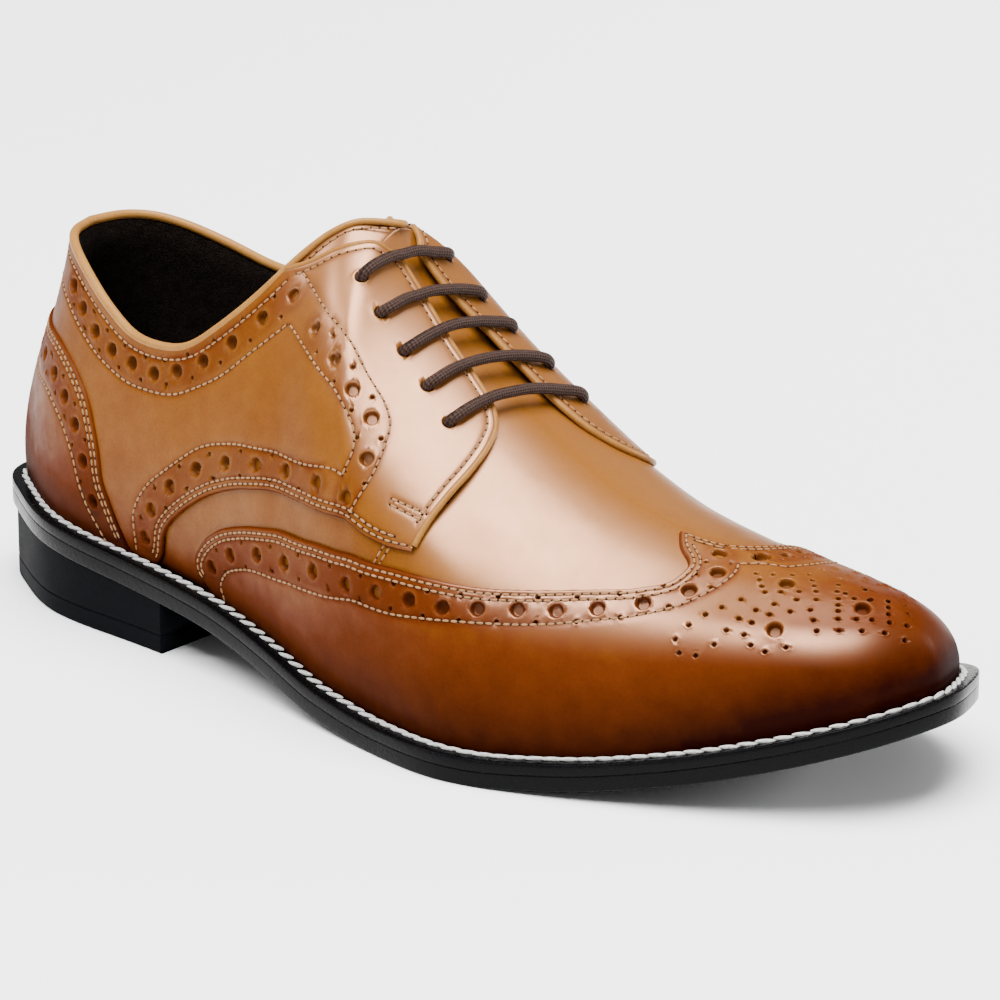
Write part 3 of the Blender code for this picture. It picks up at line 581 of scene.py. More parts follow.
def skin(u, v, side):
    """Points of the last's surface and the directions out of it."""
    u = np.asarray(u, float)
    v = np.clip(np.asarray(v, float), 0, 1)
    a, b, c, d = rib_handles(u, side)
    w = v[..., None]
    up_rib = (1 - w) ** 2 * (b - a) + 2 * (1 - w) * w * (c - b) + w * w * (d - c)
    step = 1e-3
    level = np.where(u > 1 - step, np.minimum(v, 0.99), v)
    along = mirrored_point(u + step, level, side) - mirrored_point(u - step, level, side)
    out = units(np.cross(along, up_rib) * -side)
    return rib_point(u, v, side) - MIDDLE, out


# %% [markdown]
# Lines drawn on the last
#
# A seam, a row of holes or an edge is a short list of (u, v) places, read off the shoe.
# A smooth curve runs through them, and it is walked in equal steps, because a sewing machine
# makes equal stitches. The same lines serve both sides of the shoe.
# %% Walk along a line
FINE = 0.0003


def walk(places, out, step):
    """Equal steps along dense points, with the outward direction and the way ahead."""
    run = run_along(places)
    count = max(2, int(round(run[-1] / step)) + 1)
    at = np.linspace(0, run[-1], count)
    spots = np.stack([np.interp(at, run, places[:, k]) for k in range(3)], -1)
    outs = units(np.stack([np.interp(at, run, out[:, k]) for k in range(3)], -1))
    return spots, outs, units(np.gradient(spots, axis=0))


def trail(points, side, level, step=FINE, beside=0.0):
    """A walk along a line of (u, v) points, moved sideways on the skin by a distance."""
    table = np.array(points, float)
    spots, _ = skin(table[:, 0], table[:, 1], side)
    knots = run_along(spots)
    dense = np.linspace(0, knots[-1], max(60, int(knots[-1] / FINE)))
    u = np.clip(curve(knots, table[:, 0], supple=True)(dense), 0, 1)
    v = np.clip(curve(knots, table[:, 1], supple=True)(dense), 0, 1)
    spots, out = skin(u, v, side)
    spots = spots + out * level
    if beside:
        spots, out, ahead = walk(spots, out, FINE)
        spots = spots + np.cross(out, ahead) * -side * beside
    return walk(spots, out, step)


def tree_of(points):
    """A table that quickly finds the nearest of the points."""
    tree = kdtree.KDTree(len(points))
    for i, point in enumerate(points):
        tree.insert(point, i)
    tree.balance()
    return tree


def nearest(points, places):
    """Distance from each place to the nearest of the points."""
    if len(points) == 0:
        return np.full(len(places), 1.0)
    tree = tree_of(points)
    return np.array([tree.find(place)[2] for place in places])


# %% [markdown]
# Where the shoe's lines lie
#
# The tables below hold the pattern of the shoe: edges of its panels, rows of thread and
# punched holes. The facing is the panel part that carries the lace, and a brogue's bands of
# large and small holes run along every edge.
# %% The pattern
def top_share(u):
    """How far up its rib the rolled topline lies."""
    dip = 0.014 + 0.016 * np.exp(-(((u - 0.295) / 0.055) ** 2))
    return 1 - dip * (1 - smooth(0.40, 0.50, u))


TOPLINE = tuple((u, float(top_share(u))) for u in np.linspace(0, 0.53, 60))
COLLAR_HOLES = (
    (0.127, 0.888), (0.154, 0.866), (0.183, 0.852), (0.213, 0.858), (0.243, 0.876),
    (0.273, 0.868), (0.302, 0.890), (0.335, 0.896), (0.371, 0.902), (0.409, 0.900),
    (0.448, 0.872),
)
COLLAR_SEAM = (
    (0.000, 0.845), (0.060, 0.832), (0.110, 0.814), (0.161, 0.786), (0.194, 0.778),
    (0.225, 0.784), (0.258, 0.794), (0.290, 0.798), (0.320, 0.812), (0.357, 0.816),
    (0.399, 0.828), (0.447, 0.804),
)
FACING_HOLES = (
    (0.449, 0.870), (0.493, 0.709), (0.522, 0.619), (0.540, 0.585), (0.556, 0.577),
    (0.554, 0.495), (0.534, 0.389),
)
FACING_BACK_SEAM = (
    (0.451, 0.796), (0.504, 0.611), (0.535, 0.539), (0.543, 0.515), (0.542, 0.479),
    (0.532, 0.423),
)
FACING_FRONT_SEAM = (
    (0.452, 0.922), (0.512, 0.707), (0.547, 0.649), (0.566, 0.625), (0.569, 0.603),
    (0.567, 0.557), (0.557, 0.465), (0.537, 0.367),
)
ARCH_HOLES = (
    (0.256, 0.138), (0.270, 0.293), (0.297, 0.433), (0.332, 0.521), (0.373, 0.541),
    (0.417, 0.515), (0.459, 0.465), (0.500, 0.413), (0.535, 0.387),
)
ARCH_SEAM = (
    (0.240, 0.040), (0.243, 0.130), (0.245, 0.218), (0.261, 0.363), (0.290, 0.491),
    (0.330, 0.591), (0.381, 0.595), (0.434, 0.533), (0.489, 0.451), (0.532, 0.423),
)
COUNTER_HOLES = (
    (0.020, 0.560), (0.058, 0.560), (0.097, 0.557), (0.130, 0.547), (0.155, 0.515),
    (0.176, 0.453), (0.190, 0.337), (0.200, 0.188),
)
COUNTER_SEAM = (
    (0.000, 0.457), (0.077, 0.457), (0.128, 0.457), (0.158, 0.405), (0.175, 0.323),
    (0.184, 0.220), (0.192, 0.140), (0.201, 0.070), (0.207, 0.010),
)
WING_SEAM = (
    (0.344, 0.020), (0.344, 0.078), (0.355, 0.148), (0.384, 0.210), (0.438, 0.222),
    (0.507, 0.212), (0.560, 0.236), (0.601, 0.281), (0.652, 0.349), (0.684, 0.391),
    (0.730, 0.467), (0.760, 0.523), (0.788, 0.609), (0.810, 0.758), (0.815, 0.846),
    (0.813, 0.900),
)
WING_SEAM_TIP = ((0.813, 0.900), (0.833, 0.960), (0.855, 1.000))
WING_SEAM_FAR = (
    (0.344, 0.020), (0.344, 0.078), (0.355, 0.148), (0.384, 0.210), (0.438, 0.222),
    (0.507, 0.212), (0.560, 0.236), (0.601, 0.281), (0.645, 0.335), (0.684, 0.372),
    (0.730, 0.412), (0.768, 0.455), (0.799, 0.535), (0.826, 0.660), (0.844, 0.800),
    (0.853, 0.910), (0.855, 1.000),
)
WING_HOLES = (
    (0.339, 0.152), (0.370, 0.242), (0.410, 0.279), (0.447, 0.269), (0.486, 0.257),
    (0.525, 0.242), (0.557, 0.265), (0.588, 0.299), (0.616, 0.329), (0.643, 0.373),
    (0.672, 0.419), (0.700, 0.459), (0.729, 0.509), (0.760, 0.573), (0.789, 0.679),
    (0.803, 0.808), (0.794, 0.918),
)
WING_FAR_HOLES = WING_HOLES[:10] + (
    (0.671, 0.407), (0.700, 0.436), (0.729, 0.460), (0.758, 0.490), (0.784, 0.555),
    (0.804, 0.660), (0.818, 0.780), (0.827, 0.890), (0.824, 0.985),
)
EYELETS = {
    LATERAL: ((0.532, 0.804), (0.549, 0.788), (0.567, 0.776), (0.584, 0.762), (0.601, 0.737)),
    MEDIAL: ((0.542, 0.852), (0.562, 0.835), (0.578, 0.814), (0.598, 0.790), (0.618, 0.772)),
}
BAR_TACKS = (((0.574, 0.469), (0.600, 0.501)), ((0.573, 0.455), (0.596, 0.479)))
SIDE_SEAM = ((0.566, 0.375), (0.551, 0.305))

# %% [markdown]
# The toe's medallion
#
# The toe cap carries a flower of punched holes: four large ones, rings of small ones round
# them, and curling rows at the sides.
# %% The medallion
MEDALLION_BIG = {
    LATERAL: ((0.860, 0.854), (0.939, 0.731), (0.858, 0.551)),
    MEDIAL: ((0.894, 0.645),),
}
MEDALLION_SMALL = {
    LATERAL: (
        (0.831, 0.870), (0.845, 0.896), (0.863, 0.936), (0.882, 0.982), (0.886, 0.932),
        (0.888, 0.884), (0.890, 0.836), (0.873, 0.812), (0.857, 0.784), (0.844, 0.762),
        (0.840, 0.796), (0.836, 0.834), (0.914, 0.800), (0.934, 0.818), (0.962, 0.826),
        (0.998, 0.812), (0.981, 0.739), (0.971, 0.675), (0.965, 0.605), (0.945, 0.635),
        (0.928, 0.641), (0.910, 0.639), (0.911, 0.697), (0.912, 0.745), (0.872, 0.749),
        (0.890, 0.770), (0.854, 0.699), (0.828, 0.691), (0.816, 0.631), (0.841, 0.647),
        (0.885, 0.689), (0.868, 0.665), (0.852, 0.633), (0.806, 0.581), (0.830, 0.589),
        (0.840, 0.577), (0.836, 0.511), (0.842, 0.463), (0.853, 0.433), (0.868, 0.459),
        (0.823, 0.523), (0.796, 0.521), (0.788, 0.453), (0.792, 0.399), (0.804, 0.395),
        (0.816, 0.451), (0.888, 0.623), (0.891, 0.555), (0.910, 0.561), (0.931, 0.555),
        (0.954, 0.531), (0.921, 0.950), (0.925, 0.860), (0.915, 0.868), (0.979, 0.966),
        (0.956, 0.812), (0.985, 0.561), (0.973, 0.457),
    ),
    MEDIAL: (
        (0.856, 0.782), (0.870, 0.890), (0.883, 0.810), (0.906, 0.928), (0.897, 0.782),
        (0.938, 0.655), (0.969, 0.671), (0.998, 0.647), (0.860, 0.700), (0.850, 0.640),
        (0.846, 0.570), (0.858, 0.520), (0.874, 0.500), (0.886, 0.545), (0.912, 0.560),
        (0.918, 0.620), (0.880, 0.720), (0.902, 0.715), (0.825, 0.560), (0.832, 0.500),
        (0.846, 0.450), (0.812, 0.480), (0.806, 0.420),
    ),
}

# %% [markdown]
# Cutting a panel
#
# A panel is a fine grid laid on the last between two rails, the table's lower and upper
# edges. Real holes need more points than flat leather, so the grid is first made flat, each
# edge near a hole, a seam or a border is divided again, and only then is every point carried
# onto the last. A hole is a real dent with a steep wall, a seam a soft trough, and the
# panel's own border rolls down to what it lies on.
# %% Panel helpers
HOLE_RADIUS = 0.00205
HOLE_DEPTH = 0.0018
EYELET_RADIUS = 0.0017
EYELET_DEPTH = 0.0022
PRICK_RADIUS = 0.00070
PRICK_DEPTH = 0.0009
PRICK_SPREAD = 0.0031
BRIM_HEIGHT = 0.00014
SEAM_WIDTH = 0.00055
SEAM_DEPTH = 0.00022
EDGE_ROLL = 0.0008
LAYER = 0.0014
CELL = 0.00105


def rail(points, side):
    """A smooth line through (u, v) points, by row number."""
    table = np.array(points, float)
    spots, _ = skin(table[:, 0], table[:, 1], side)
    steps = np.linalg.norm(np.diff(spots, axis=0), axis=1)
    knots = np.concatenate([[0], np.cumsum(np.maximum(steps, 1e-5))])
    at = curve(np.arange(len(table)), knots)
    columns = [curve(knots, table[:, k], supple=True) for k in range(2)]
    return lambda row: [column(at(row)) for column in columns]


def rail_line(rows, side, high, first, last):
    """Dense (u, v) points of a panel's low or high rail between two rows."""
    points = [row[2:4] if high else row[0:2] for row in rows]
    u, v = rail(points, side)(np.linspace(first, last, 160))
    return list(zip(np.clip(u, 0, 1), np.clip(v, 0, 1)))


def pricks_between(spots, outs):
    """Pairs of small holes halfway between neighbouring large ones."""
    middle = (spots[1:] + spots[:-1]) / 2
    ahead = units(spots[1:] - spots[:-1])
    sideways = units(np.cross(outs[1:] + outs[:-1], ahead))
    return np.concatenate([middle + sideways * PRICK_SPREAD, middle - sideways * PRICK_SPREAD])


class Marks:
    """Everything that is punched or sewn into one side of a panel."""

    def __init__(self, side, level):
        self.side = side
        self.level = level
        self.holes = []
        self.pricks = []
        self.eyelets = []
        self.seams = []
        self.edge = []
        self.bands = []

    def laid(self, places):
        """The places on the panel's face, and the directions out of it."""
        table = np.array(places)
        spots, outs = skin(table[:, 0], table[:, 1], self.side)
        return spots + outs * self.level, outs

    def band(self, holes):
        spots, outs = self.laid(holes)
        self.holes.append(spots)
        self.pricks.append(pricks_between(spots, outs))
        self.bands.append(trail(holes, self.side, self.level, 0.001)[0])

    def dots(self, places, small):
        (self.pricks if small else self.holes).append(self.laid(places)[0])

    def eyes(self, places):
        self.eyelets.append(self.laid(places)[0])

    def seam(self, points, beside=0.0):
        self.seams.append((points, beside))

    def border(self, points):
        self.edge.append(trail(points, self.side, self.level)[0])

    def gathered(self, kind):
        found = getattr(self, kind)
        return np.concatenate(found) if found else np.zeros((0, 3))

    def seam_points(self):
        lines = [trail(p, self.side, self.level, FINE, b)[0] for p, b in self.seams]
        return np.concatenate(lines) if lines else np.zeros((0, 3))


def flat_net(columns, rows):
    """A flat grid whose corners lie at whole numbers."""
    net = bmesh.new()
    bmesh.ops.create_grid(net, x_segments=columns, y_segments=rows, size=1.0)
    bmesh.ops.translate(net, verts=net.verts, vec=(1, 1, 0))
    bmesh.ops.scale(net, verts=net.verts, vec=(columns / 2, rows / 2, 1))
    return net


def flat_places(net):
    return np.array([vertex.co[:2] for vertex in net.verts])


class Patch:
    """One grid on one side of the last, between two rails."""

    def __init__(self, rows, side, cell, rungs):
        self.low = rail([row[0:2] for row in rows], side)
        self.high = rail([row[2:4] for row in rows], side)
        self.side = side
        s = np.linspace(0, len(rows) - 1, 300)
        ends = [self.spot(s, np.full(300, share))[0] for share in (0.0, 0.5, 1.0)]
        stride = sum(np.linalg.norm(np.diff(end, axis=0), axis=1) for end in ends) / 3
        run = np.concatenate([[0], np.cumsum(stride)])
        low, middle, high = ends
        height = np.linalg.norm(middle - low, axis=1) + np.linalg.norm(high - middle, axis=1)
        self.columns = max(6, int(run[-1] / cell))
        self.rows = rungs or max(4, int(np.percentile(height, 70) / cell))
        self.at = np.interp(np.linspace(0, run[-1], self.columns + 1), run, s)

    def u_v(self, s, t):
        low_u, low_v = self.low(s)
        high_u, high_v = self.high(s)
        return low_u + (high_u - low_u) * t, low_v + (high_v - low_v) * t

    def spot(self, s, t):
        u, v = self.u_v(s, t)
        return skin(u, v, self.side)

    def read(self, net):
        flat = flat_places(net)
        s = np.interp(flat[:, 0], np.arange(self.columns + 1), self.at)
        return self.u_v(s, flat[:, 1] / self.rows)


def inside(u, v, polygon):
    """Which (u, v) places lie inside a closed line, by counting its crossings."""
    shape = np.array(polygon)
    after = np.roll(shape, -1, axis=0)
    found = np.zeros(len(u), bool)
    for (u1, v1), (u2, v2) in zip(shape, after):
        if v1 != v2:
            spans = (v1 > v) != (v2 > v)
            found ^= spans & (u < (u2 - u1) * (v - v1) / (v2 - v1) + u1)
    return found


def close_edges(net, close):
    index = {vertex: i for i, vertex in enumerate(net.verts)}
    return [edge for edge in net.edges if close[index[edge.verts[0]]] and close[index[edge.verts[1]]]]


def panel_bmesh(
    rows, side, level, marks, burn_and_shade, cell=CELL, extra=None, cut=None, shift=None, rungs=None
):
    """A dented grid with its darkness, pit and sheen values."""
    patch = Patch(rows, side, cell, rungs)
    net = flat_net(patch.columns, patch.rows)
    u, v = patch.read(net)
    place, out = skin(u, v, side)
    places = place + out * level
    holes = marks.gathered("holes")
    pricks = marks.gathered("pricks")
    eyelets = marks.gathered("eyelets")
    edge = marks.gathered("edge")
    seams = marks.seam_points()
    close = nearest(holes, places) < HOLE_RADIUS + 0.0008
    close |= nearest(eyelets, places) < HOLE_RADIUS + 0.0008
    close |= nearest(pricks, places) < PRICK_RADIUS + 0.0009
    close |= nearest(seams, places) < 0.0007
    close |= nearest(edge, places) < 0.0012
    picked = close_edges(net, close)
    if picked:
        bmesh.ops.subdivide_edges(net, edges=picked, cuts=3, use_grid_fill=True)
    u, v = patch.read(net)
    place, out = skin(u, v, side)
    places = place + out * level
    offset = np.full(len(u), level)
    if extra:
        offset = offset + extra(u, v)
    pit = np.zeros(len(u))
    lit_brims = np.zeros(len(u))
    # Each hole's inside gets a painted shade, stored in the pit value.
    for centres, radius, depth, shade_inside in (
        (holes, HOLE_RADIUS, HOLE_DEPTH, 0.60),
        (pricks, PRICK_RADIUS, PRICK_DEPTH, 1.0),
        (eyelets, EYELET_RADIUS, EYELET_DEPTH, 1.0),
    ):
        away = nearest(centres, places)
        dip = 1 - smooth(0.66 * radius, 1.0 * radius, away)
        brim = np.exp(-(((away / radius - 1.2) / 0.2) ** 2))
        offset = offset - depth * dip + BRIM_HEIGHT * brim
        lit_brims = np.maximum(lit_brims, brim)
        pit = np.maximum(pit, dip * shade_inside)
    thread = nearest(seams, places)
    groove = np.exp(-((thread / SEAM_WIDTH) ** 2))
    offset = offset - SEAM_DEPTH * groove
    rim = nearest(edge, places)
    fall = 1 - np.sqrt(np.clip(1 - (1 - np.clip(rim / EDGE_ROLL, 0, 1)) ** 2, 0, 1))
    offset = offset - (level + 0.0001) * fall
    if cut is not None:
        sunk = -0.0001 - 0.0005 * smooth(0, 0.0006, rim)
        offset = np.where(inside(u, v, cut), offset, sunk)
    bands = marks.gathered("bands")
    # Painted shade in the seam troughs, and painted shade along the rolled border together with its
    # darker cut edge.
    shade = burn_and_shade(u, v) + 0.25 * groove + 0.60 * np.exp(-rim / 0.00045)
    if len(bands):
        shade = shade + 0.17 * (1 - smooth(0.0030, 0.0058, nearest(bands, places)))
    # A painted highlight on the raised brims round the holes.
    shade = shade - 0.12 * lit_brims
    final = place + out * offset[:, None]
    if shift is not None:
        final = final + shift(u, v, side)
    # Painted sheen: strongest where the panel faces up and towards the near side, weaker on the far
    # side, the toe's tip and the medallion.
    sheen_where_lit = smooth(0.34, 0.62, out[:, 2]) * smooth(-0.06, 0.20, abs(out[:, 1])) * (1 - pit)
    sheen_where_lit *= 1 - 0.9 * smooth(0.73, 0.82, u) * smooth(0.47, 0.60, v)
    sheen_where_lit *= (1 - 0.65 * smooth(0.0, 0.4, out[:, 1])) * (1 - 0.9 * smooth(0.89, 0.97, u))
    burnish = net.verts.layers.float.new("burnish")
    pits = net.verts.layers.float.new("pit")
    polish = net.verts.layers.float.new("polish")
    values = zip(net.verts, final, np.clip(shade, 0, 1), pit, sheen_where_lit)
    for vertex, spot, tone, hollow, sheen_strength in values:
        vertex.co = spot
        vertex[burnish] = tone
        vertex[pits] = hollow
        vertex[polish] = sheen_strength
    return net


def settle(name, parts, material, replaced=(), weld=0.00004):
    """Joins the parts into one smooth piece, which rides on the shoe."""
    whole = bmesh.new()
    for part in parts:
        held = bpy.data.meshes.new("held")
        part.to_mesh(held)
        part.free()
        whole.from_mesh(held)
        bpy.data.meshes.remove(held)
    if weld:
        bmesh.ops.remove_doubles(whole, verts=whole.verts, dist=weld)
    mesh = bpy.data.meshes.new(name)
    whole.to_mesh(mesh)
    whole.free()
    mesh.shade_smooth()
    mesh.materials.append(material)
    piece = bpy.data.objects.new(name, mesh)
    bpy.context.scene.collection.objects.link(piece)
    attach(piece, "root")
    if replaced:
        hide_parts(*replaced)
    triangles = sum(len(face.vertices) - 2 for face in mesh.polygons)
    print(name, triangles, "triangles")
    return piece


def facing_out(net, side):
    """Turns the faces of one side so that they look out of the shoe."""
    if side == MEDIAL:
        bmesh.ops.reverse_faces(net, faces=net.faces)
    return net


# %% [markdown]
# Thread
#
# A stitch is a short bead of thread, pulled into the leather at both ends. Between it and the next
# sits a small dark bead that paints the shade of the needle hole. Each row is made from low
# icospheres, stretched along the row and sunk a little, and all the rows of a panel are one piece.
# %% Thread and needle holes
PITCH = 0.00225
STITCH_WIDTH = 0.00064
STITCH_HEIGHT = 0.00056
NEEDLE_WIDTH = 0.00075
NEEDLE_HEIGHT = 0.00042
thread_material, thread_tree, thread_shader = start_material("thread", 0.62, Specular_IOR_Level=0.2)
thread_place = object_place(thread_tree)
thread_tone = noise(thread_tree, thread_place, 700.0, 2.0)
thread_colour = mix(
    thread_tree, thread_tone, (0.13, 0.056, 0.017, 1.0), (0.33, 0.175, 0.072, 1.0)
)
finish_material(
    thread_tree, thread_shader, thread_colour, None,
    noise(thread_tree, thread_place, 5200.0, 2.0), depth=0.0001,
)
# Painted shade of the needle holes.
needle_shade_material, needle_tree, needle_shader = start_material(
    "needle_hole", 0.75, Specular_IOR_Level=0.1
)
needle_tone = noise(needle_tree, object_place(needle_tree), 900.0, 2.0)
finish_material(
    needle_tree, needle_shader,
    mix(needle_tree, needle_tone, (0.010, 0.003, 0.002, 1.0), (0.035, 0.011, 0.005, 1.0)),
)


def bead(net, spot, out, ahead, length, width, height, detail):
    """A stretched icosphere along a row, standing out of the leather by its height."""
    across = unit(np.cross(out, ahead))
    turned = unit(np.cross(across, out))
    columns = np.stack([turned * length / 2, across * width / 2, out * height / 2, spot], 1)
    matrix = Matrix([list(row) for row in columns] + [[0, 0, 0, 1]])
    bmesh.ops.create_icosphere(net, subdivisions=detail, radius=1.0, matrix=matrix)


def sew(name, lines):
    """Rows of thread, and dark beads of painted shade in the needle holes between their stitches."""
    threads = []
    needles = []
    for spots, outs, ahead in lines:
        row = bmesh.new()
        pins = bmesh.new()
        middle = (spots[1:] + spots[:-1]) / 2
        for spot, out, way in zip(middle, (outs[1:] + outs[:-1]) / 2, spots[1:] - spots[:-1]):
            out = unit(out)
            length = np.linalg.norm(way)
            sunk = spot - out * 0.00012
            bead(row, sunk, out, way / length, length * 0.84, STITCH_WIDTH, STITCH_HEIGHT, 2)
        for spot, out, way in zip(spots, outs, ahead):
            sunk = spot - out * 0.00018
            bead(pins, sunk, out, way, NEEDLE_WIDTH, NEEDLE_WIDTH, NEEDLE_HEIGHT, 1)
        threads.append(row)
        needles.append(pins)
    settle(f"thread_{name}", threads, thread_material, weld=0)
    settle(f"needle_holes_{name}", needles, needle_shade_material, weld=0)


def sewn_lines(marks, lift=0.0):
    return [trail(p, marks.side, marks.level + lift, PITCH, b) for p, b in marks.seams]


# %% [markdown]
# The quarters
#
# Each quarter wraps from the heel to the facing. Its lower edge arches over the vamp and its
# front edge carries the eyelets, both thick and sewn twice. Four lines of thread on it mark
# the bands of holes along the collar, down the facing and over the arch.
# %% Quarters
QUARTER_PATTERN = (
    # low u  low v  high u high v
    (0.000, 0.620, 0.000, 1.000),
    (0.070, 0.620, 0.050, 1.000),
    (0.120, 0.625, 0.100, 1.000),
    (0.158, 0.600, 0.160, 1.000),
    (0.178, 0.550, 0.190, 1.000),
    (0.190, 0.480, 0.215, 1.000),
    (0.198, 0.390, 0.235, 1.000),
    (0.203, 0.280, 0.255, 1.000),
    (0.209, 0.180, 0.275, 1.000),
    (0.217, 0.070, 0.290, 1.000),
    (0.224, 0.000, 0.300, 1.000),
    (0.258, 0.000, 0.312, 1.000),
    (0.268, 0.050, 0.325, 1.000),
    (0.283, 0.218, 0.340, 1.000),
    (0.306, 0.329, 0.360, 1.000),
    (0.342, 0.421, 0.380, 1.000),
    (0.380, 0.457, 0.402, 1.000),
    (0.416, 0.451, 0.425, 1.000),
    (0.442, 0.430, 0.449, 0.950),
    (0.470, 0.396, 0.487, 0.906),
    (0.495, 0.367, 0.519, 0.896),
    (0.508, 0.357, 0.535, 0.924),
    (0.516, 0.353, 0.543, 0.953),
    (0.523, 0.351, 0.552, 0.955),
    (0.530, 0.350, 0.567, 0.944),
    (0.537, 0.349, 0.582, 0.926),
    (0.544, 0.350, 0.600, 0.910),
    (0.550, 0.352, 0.615, 0.885),
    (0.556, 0.356, 0.622, 0.845),
    (0.562, 0.361, 0.624, 0.780),
    (0.569, 0.368, 0.621, 0.687),
    (0.576, 0.377, 0.611, 0.573),
    (0.583, 0.387, 0.601, 0.487),
    (0.590, 0.398, 0.592, 0.415),
)
QUARTER_NEAR = tuple(
    (*row[:3], float(top_share(row[2])) if row[3] == 1 else row[3]) for row in QUARTER_PATTERN
)
QUARTER_FAR = QUARTER_NEAR[:26] + (
    (0.544, 0.350, 0.604, 0.912),
    (0.550, 0.352, 0.628, 0.893),
    (0.556, 0.356, 0.645, 0.858),
    (0.562, 0.361, 0.656, 0.790),
    (0.569, 0.368, 0.655, 0.690),
    (0.576, 0.377, 0.638, 0.575),
    (0.583, 0.387, 0.616, 0.487),
    (0.590, 0.398, 0.597, 0.415),
)
QUARTER_ROWS = {LATERAL: QUARTER_NEAR, MEDIAL: QUARTER_FAR}
CORNER_ROW = 33
FACING_ROW = 17
LOWER_ROW = 11
EDGES = {
    side: {
        "lower": rail_line(QUARTER_ROWS[side], side, False, LOWER_ROW, CORNER_ROW),
        "facing": rail_line(QUARTER_ROWS[side], side, True, CORNER_ROW, FACING_ROW),
    }
    for side in SIDES
}


def quarter_marks(side):
    marks = Marks(side, LAYER)
    marks.band(COLLAR_HOLES)
    marks.band(FACING_HOLES[1:])
    marks.band(ARCH_HOLES[:-1])
    marks.eyes(EYELETS[side])
    marks.seam(TOPLINE[:48], -0.0027)
    marks.seam(COLLAR_SEAM)
    marks.seam(FACING_BACK_SEAM)
    marks.seam(FACING_FRONT_SEAM)
    marks.seam(ARCH_SEAM)
    marks.seam(EDGES[side]["lower"][6:-4], 0.0015)
    marks.seam(EDGES[side]["lower"][6:-16], 0.0030)
    marks.seam(EDGES[side]["facing"][8:-6], 0.0022)
    for tack in BAR_TACKS:
        marks.seam(tack)
    marks.border(EDGES[side]["lower"])
    marks.border(EDGES[side]["facing"])
    return marks


def quarter_burnish_and_shade(u, v):
    # Darker towards the welt: partly burnish, partly painted shade.
    low = 0.60 * np.exp(-v / 0.15)
    heel = 0.24 * (1 - smooth(0.02, 0.18, u))
    rear = 0.06 * (1 - smooth(0.40, 0.56, u))
    return 0.05 + low + heel + rear


for side, name in ((LATERAL, "lateral"), (MEDIAL, "medial")):
    marks = quarter_marks(side)
    net = panel_bmesh(QUARTER_ROWS[side], side, LAYER, marks, quarter_burnish_and_shade)
    settle(
        f"quarter_{name}_leather", [facing_out(net, side)], tan_leather,
        (f"quarter_{name}",),
    )
    sew(f"quarter_{name}", sewn_lines(marks))

# %% [markdown]
# The wing cap
#
# The cap covers the toe and runs back in a wing along both sides. Its edge dips to a point
# on the vamp. One grid covers each half, and the two are welded along the ridge and down the
# middle of the toe.
# %% Wing cap
WING_NEAR = (
    # low u  low v  high u high v
    (0.326, 0.000, 0.325, 0.030),
    (0.328, 0.000, 0.314, 0.090),
    (0.332, 0.000, 0.315, 0.142),
    (0.340, 0.000, 0.327, 0.224),
    (0.358, 0.000, 0.351, 0.303),
    (0.388, 0.000, 0.386, 0.347),
    (0.431, 0.000, 0.430, 0.349),
    (0.483, 0.000, 0.482, 0.313),
    (0.530, 0.000, 0.528, 0.295),
    (0.582, 0.000, 0.582, 0.347),
    (0.633, 0.000, 0.633, 0.413),
    (0.682, 0.000, 0.680, 0.493),
    (0.722, 0.000, 0.7245, 0.577),
)
WING_FAR = WING_NEAR[:11] + ((0.682, 0.000, 0.680, 0.462), (0.722, 0.000, 0.7245, 0.505))
WING_ROWS = {LATERAL: WING_NEAR, MEDIAL: WING_FAR}
WING_TOE = (
    # low u  low v  high u high v
    (0.722, 0.000, 0.725, 1.000),
    (0.765, 0.000, 0.765, 1.000),
    (0.812, 0.000, 0.805, 1.000),
    (0.865, 0.000, 0.850, 1.000),
    (0.925, 0.000, 0.920, 1.000),
    (1.000, 0.000, 1.000, 1.000),
)
WING_EDGE = (
    (0.725, 0.577), (0.754, 0.635), (0.774, 0.707), (0.779, 0.796), (0.763, 0.890),
    (0.752, 0.964),
)
WING_TIP = ((0.752, 0.964), (0.767, 0.974), (0.780, 0.985), (0.790, 1.000))
WING_FAR_EDGE = (
    (0.7245, 0.505), (0.755, 0.530), (0.779, 0.590), (0.791, 0.690), (0.799, 0.800),
    (0.802, 0.880), (0.799, 0.950), (0.790, 1.000),
)


def line_on(points, side):
    """Dense (u, v) points of a smooth line through a few."""
    u, v = rail(points, side)(np.linspace(0, len(points) - 1, 140))
    return list(zip(np.clip(u, 0, 1), np.clip(v, 0, 1)))


def wing_burnish_and_shade(u, v):
    reach = 0.17 + 0.17 * smooth(0.48, 0.78, u)
    # Darker towards the welt: partly burnish, partly painted shade.
    low = 0.74 * np.exp(-((v / reach) ** 1.4))
    toe = 0.42 * smooth(0.74, 0.97, u) * (1 - 0.45 * v)
    return 0.13 + low + toe


